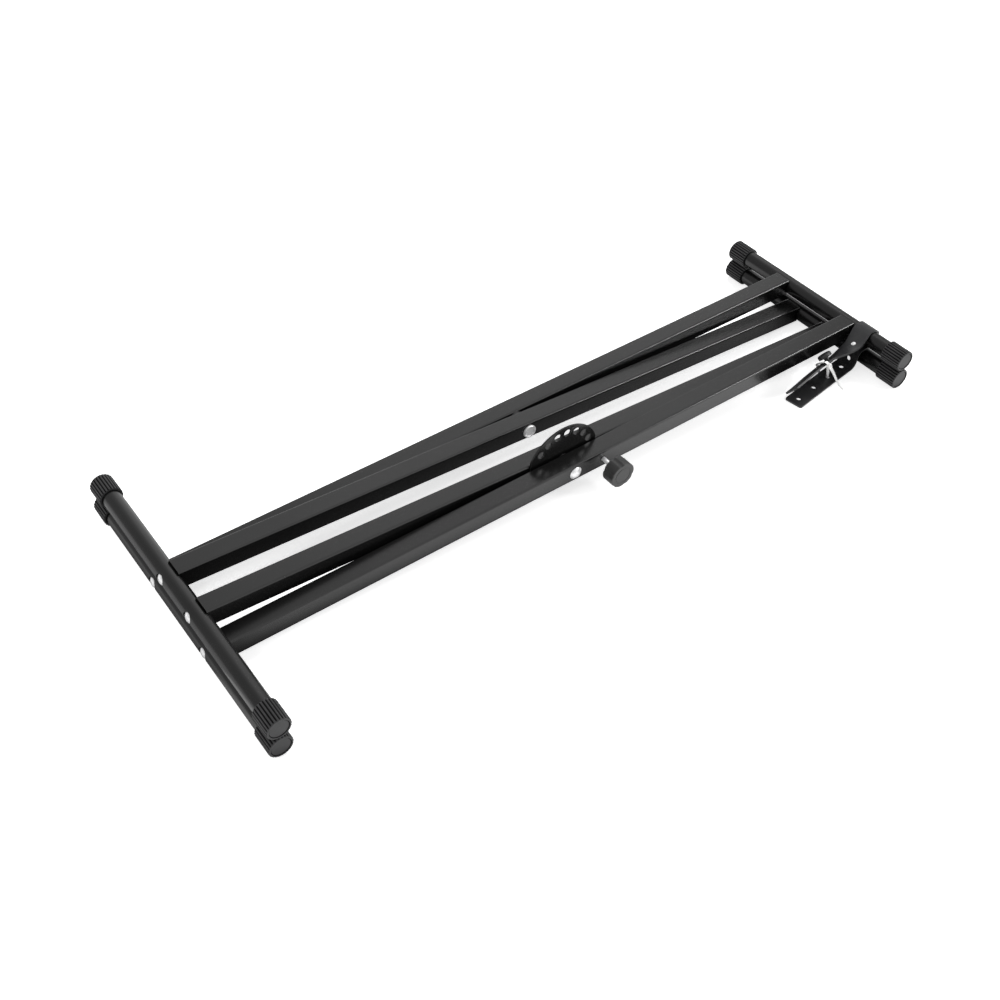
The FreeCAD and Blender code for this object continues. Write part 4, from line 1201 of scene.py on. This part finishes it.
def tieLoop(corners, x):
    line = roundedLoop(corners, tieValues["corner"], tieValues["cornerSteps"])
    # along x (1, 0, 0) points out of the loop where the area is positive, else into it
    area = sum(y1 * z2 - y2 * z1 for (y1, z1), (y2, z2) in zip(corners, corners[1:] + corners[:1]))
    side = 1 if area > 0 else -1
    rings = []
    for index, point in enumerate(line):
        along = (line[(index + 1) % len(line)] - line[index - 1]).normalized()
        out = along.cross(sideways)
        centre = point + Vector((x, 0, 0)) + out * (tieThick / 2 * side)
        rings.append(tieRing(centre, sideways, out, tieWidth))
    return meshFrom("tieLoop", *loopedGrid(rings))


tieCentre, tieAcross = strapPath.frameAt(bandMarks[tieBand])[::2]
frontEdge = tieCentre - tieAcross * halfWidth
farEdge = tieCentre + tieAcross * halfWidth
tailPlace = centres[tailStart + tieTail]
lean = math.atan2(tailPlace.x - frontEdge.x, frontEdge.z - tailPlace.z)
# the tie is laid out in an upright plane and then leaned back from the tail's hole
low = tailPlace.z - (tailPlace.z - tieGap - tieThick) / math.cos(lean)
frontRise = tailPlace.z + (frontEdge.z - tailPlace.z) / math.cos(lean)
farRise = tailPlace.z + (farEdge.z - tailPlace.z) / math.cos(lean)
near = tailPlace.y + tieThick / 2
front = frontEdge.y - tieValues["frontRoom"]
top = frontRise + tieValues["topRoom"]
far = max(tailPlace.y + halfWidth, farEdge.y) + tieValues["farRoom"]
loop = tieLoop([(near, low), (front, top), (far, farRise + tieValues["farRoom"]), (far, low)], tailPlace.x)
leaned = Matrix(((1, 0, -math.sin(lean), 0), (0, 1, 0, 0), (0, 0, math.cos(lean), 0), (0, 0, 0, 1)))
loop.transform(Matrix.Translation(tailPlace) @ leaned @ Matrix.Translation(-tailPlace))

exitZ = frontRise + tieThick - tieValues["headLength"] / 2
stripY = tailPlace.y + (front - tailPlace.y) * (exitZ - low) / (top - low)
headSize = (tieWidth + 2 * tieThick, tieValues["headDepth"], tieValues["headLength"])
headMesh = meshFrom("tieHead", *closedGrid([
    [(x * headSize[0] / 2, y * headSize[1] / 2, z * headSize[2] / 2)
     for x, y in ((1, 1), (-1, 1), (-1, -1), (1, -1))] for z in (-1, 1)]))
headMesh = bevelled(headMesh, tieValues["headRound"], tieValues["headRoundSteps"], tieValues["headAngle"])
headMiddle = Vector((0, stripY - headSize[1] / 2 - tieValues["headGap"] - tailPlace.y, exitZ - tailPlace.z))
headMesh.transform(
    Matrix.Translation(tailPlace) @ Matrix.Rotation(-lean, 4, "Y") @ Matrix.Translation(headMiddle))

tipLow = tieGap + tieThick / 2
endTop = leaned @ Vector((0, 0, exitZ - tailPlace.z)) + tailPlace
endCentres = [Vector((tailPlace.x + height * (endTop.x - tailPlace.x),
                      stripY - headSize[1] / 2 - reach * tieValues["tailReach"],
                      tipLow + height * (endTop.z - tipLow))) for reach, height in tieTailShares]
tiePath = RoutePath(endCentres, [sideways] * len(endCentres))
rings = []
endLength = tiePath.marks[-1]
steps = round(endLength / tieValues["step"])
for step in range(steps + 1):
    mark = endLength * step / steps
    centre, along, across, out = tiePath.frameAt(mark)
    narrowed = mark / endLength * (tieWidth - tieValues["tipWidth"])
    rings.append(tieRing(centre, across, out, tieWidth - narrowed))
cutEnd = meshFrom("tieEnd", *closedGrid(rings))

whole = bmesh.new()
for part in (loop, headMesh, cutEnd):
    whole.from_mesh(part)
tieMesh = bpy.data.meshes.new("cableTie")
whole.to_mesh(tieMesh)
whole.free()
addPiece("cableTie", tieMesh, "outer_frame", "white_nylon", ["cable_tie"], tieValues["sharpAngle"])


# floor, lamps, world, camera

print("setting the stage")


def emptyTree(owner):
    owner.use_nodes = True
    owner.node_tree.nodes.clear()
    return owner.node_tree


def directRays(tree, path):
    return mathNode(tree, "MAXIMUM", path["Is Camera Ray"], path["Is Transmission Ray"])


floorValues = {
    "halfWidth": 30.0, "shade": 0.8, "glow": 0.7, "openReach": 0.3, "openPower": 2.5, "openSamples": 8,
    "rightSlope": (-0.5, 0.5, 0.85, 1.8), "leftSlope": (-0.5, -0.53, 1.0, 1.25),
    "frontSlope": (-0.074, -0.09, 1.0, 2.2), "mostMirrored": 1.5,
}
floorMesh = bpy.data.meshes.new("floor")
reach = floorValues["halfWidth"]
floorMesh.from_pydata([(-reach, -reach, 0), (reach, -reach, 0), (reach, reach, 0), (-reach, reach, 0)],
                      [], [(0, 1, 2, 3)])
floor = newObject("floor", floorMesh)

floorPaint = bpy.data.materials.new("floorPaint")
tree = emptyTree(floorPaint)
path = addNode(tree, "ShaderNodeLightPath").outputs
diffuse = outputOf(tree, "ShaderNodeBsdfDiffuse", {"Color": opaque([floorValues["shade"]] * 3)})
glow = outputOf(tree, "ShaderNodeEmission", {"Strength": floorValues["glow"]})
lit = outputOf(tree, "ShaderNodeAddShader", {0: diffuse, 1: glow})
seen = outputOf(tree, "ShaderNodeMixShader", {"Fac": directRays(tree, path), 1: diffuse, 2: lit})
# gloss mirrors a glowing floor with painted shade: bright where it is open, darker under the bars and to the
# left
openness = outputOf(tree, "ShaderNodeAmbientOcclusion", {"Distance": floorValues["openReach"]}, "AO",
                    samples=floorValues["openSamples"])
shaded = mathNode(tree, "POWER", openness, floorValues["openPower"])
place = addNode(tree, "ShaderNodeSeparateXYZ", {0: outputOf(tree, "ShaderNodeTexCoord", output="Object")})
for axis, key in (("X", "rightSlope"), ("X", "leftSlope"), ("Y", "frontSlope")):
    levels = dict(zip(("From Min", "From Max", "To Min", "To Max"), floorValues[key]))
    slope = outputOf(tree, "ShaderNodeMapRange", {**levels, "Value": place.outputs[axis]})
    shaded = mathNode(tree, "MULTIPLY", shaded, slope)
mirrored = outputOf(tree, "ShaderNodeEmission", {
    "Strength": mathNode(tree, "MINIMUM", shaded, floorValues["mostMirrored"])})
chosen = outputOf(tree, "ShaderNodeMixShader", {"Fac": path["Is Glossy Ray"], 1: seen, 2: mirrored})
addNode(tree, "ShaderNodeOutputMaterial", {"Surface": chosen})
floorMesh.materials.append(floorPaint)

# mirrored rays see a soft wall of light behind the stand and a dimmer room elsewhere:
# its strength by compass direction in degrees from +X towards +Y
skyStops = [
    (-180, 0.40), (-115, 0.45), (-75, 0.95), (-20, 1.0), (18, 0.85), (28, 0.34), (34, 0.30), (39, 1.0),
    (54, 1.0), (76, 0.62), (112, 0.45), (180, 0.40)]
skyValues = {"mirrored": 1.2, "fill": 0.35}
world = bpy.context.scene.world or bpy.data.worlds.new("studio")
bpy.context.scene.world = world
tree = emptyTree(world)
path = addNode(tree, "ShaderNodeLightPath").outputs
compass = addNode(tree, "ShaderNodeSeparateXYZ", {
    0: outputOf(tree, "ShaderNodeTexCoord", output="Generated")}).outputs
angle = mathNode(tree, "ARCTAN2", compass["Y"], compass["X"])
share = mathNode(tree, "ADD", mathNode(tree, "DIVIDE", angle, 2 * math.pi), 0.5)
wall = addNode(tree, "ShaderNodeValToRGB", {"Fac": share})
wall.color_ramp.interpolation = "EASE"
while len(wall.color_ramp.elements) < len(skyStops):
    wall.color_ramp.elements.new(1.0)
for stop, (degrees, level) in zip(wall.color_ramp.elements, skyStops):
    stop.position = degrees / 360 + 0.5
    stop.color = opaque([level] * 3)
mirrored = mathNode(tree, "MULTIPLY", wall.outputs["Color"], skyValues["mirrored"])
plain = mathNode(tree, "MULTIPLY", skyValues["fill"], mathNode(tree, "SUBTRACT", 1.0, path["Is Glossy Ray"]))
glossy = mathNode(tree, "MULTIPLY", mirrored, path["Is Glossy Ray"])
light = mathNode(tree, "ADD", plain, glossy)
sky = outputOf(tree, "ShaderNodeBackground", {
    "Color": opaque([1.0] * 3), "Strength": mathNode(tree, "MAXIMUM", light, directRays(tree, path))})
addNode(tree, "ShaderNodeOutputWorld", {"Surface": sky})

lamps = {
    "mainLamp": dict(place=(1.6, 1.5, 2.2), width=1.4, height=1.4, power=90.0, mirrored=False),
    "leftLamp": dict(place=(-2.0, 0.3, 1.5), width=1.2, height=1.2, power=24.0, mirrored=False),
    "edgeLamp": dict(place=(2.0, -1.7, 1.3), width=0.7, height=0.35, power=28.0, mirrored=True),
}
for name, lamp in lamps.items():
    light = bpy.data.lights.new(name, "AREA")
    light.shape = "RECTANGLE"
    light.size, light.size_y, light.energy = lamp["width"], lamp["height"], lamp["power"]
    holder = newObject(name, light)
    holder.location = lamp["place"]
    holder.rotation_euler = (-Vector(lamp["place"])).to_track_quat("-Z", "Y").to_euler()
    holder.visible_glossy = lamp["mirrored"]

cameraValues = {
    "place": (-0.8110, -0.9302, 1.1111), "right": (0.8152, -0.5785, 0.0257),
    "up": (0.3716, 0.5566, 0.7430), "sensor": 36.0, "lens": 47.506, "shiftX": 0.0361, "shiftY": -0.049,
}
cameraData = bpy.data.cameras.new("camera")
cameraData.sensor_width, cameraData.lens = cameraValues["sensor"], cameraValues["lens"]
cameraData.shift_x, cameraData.shift_y = cameraValues["shiftX"], cameraValues["shiftY"]
camera = newObject("camera", cameraData)
right = Vector(cameraValues["right"]).normalized()
up = Vector(cameraValues["up"])
up = (up - right * up.dot(right)).normalized()
turn = Matrix((right, up, right.cross(up))).transposed()
camera.matrix_world = Matrix.Translation(cameraValues["place"]) @ turn.to_4x4()
bpy.context.scene.camera = camera
bpy.context.scene.view_settings.view_transform = "Standard"

print("finishing")
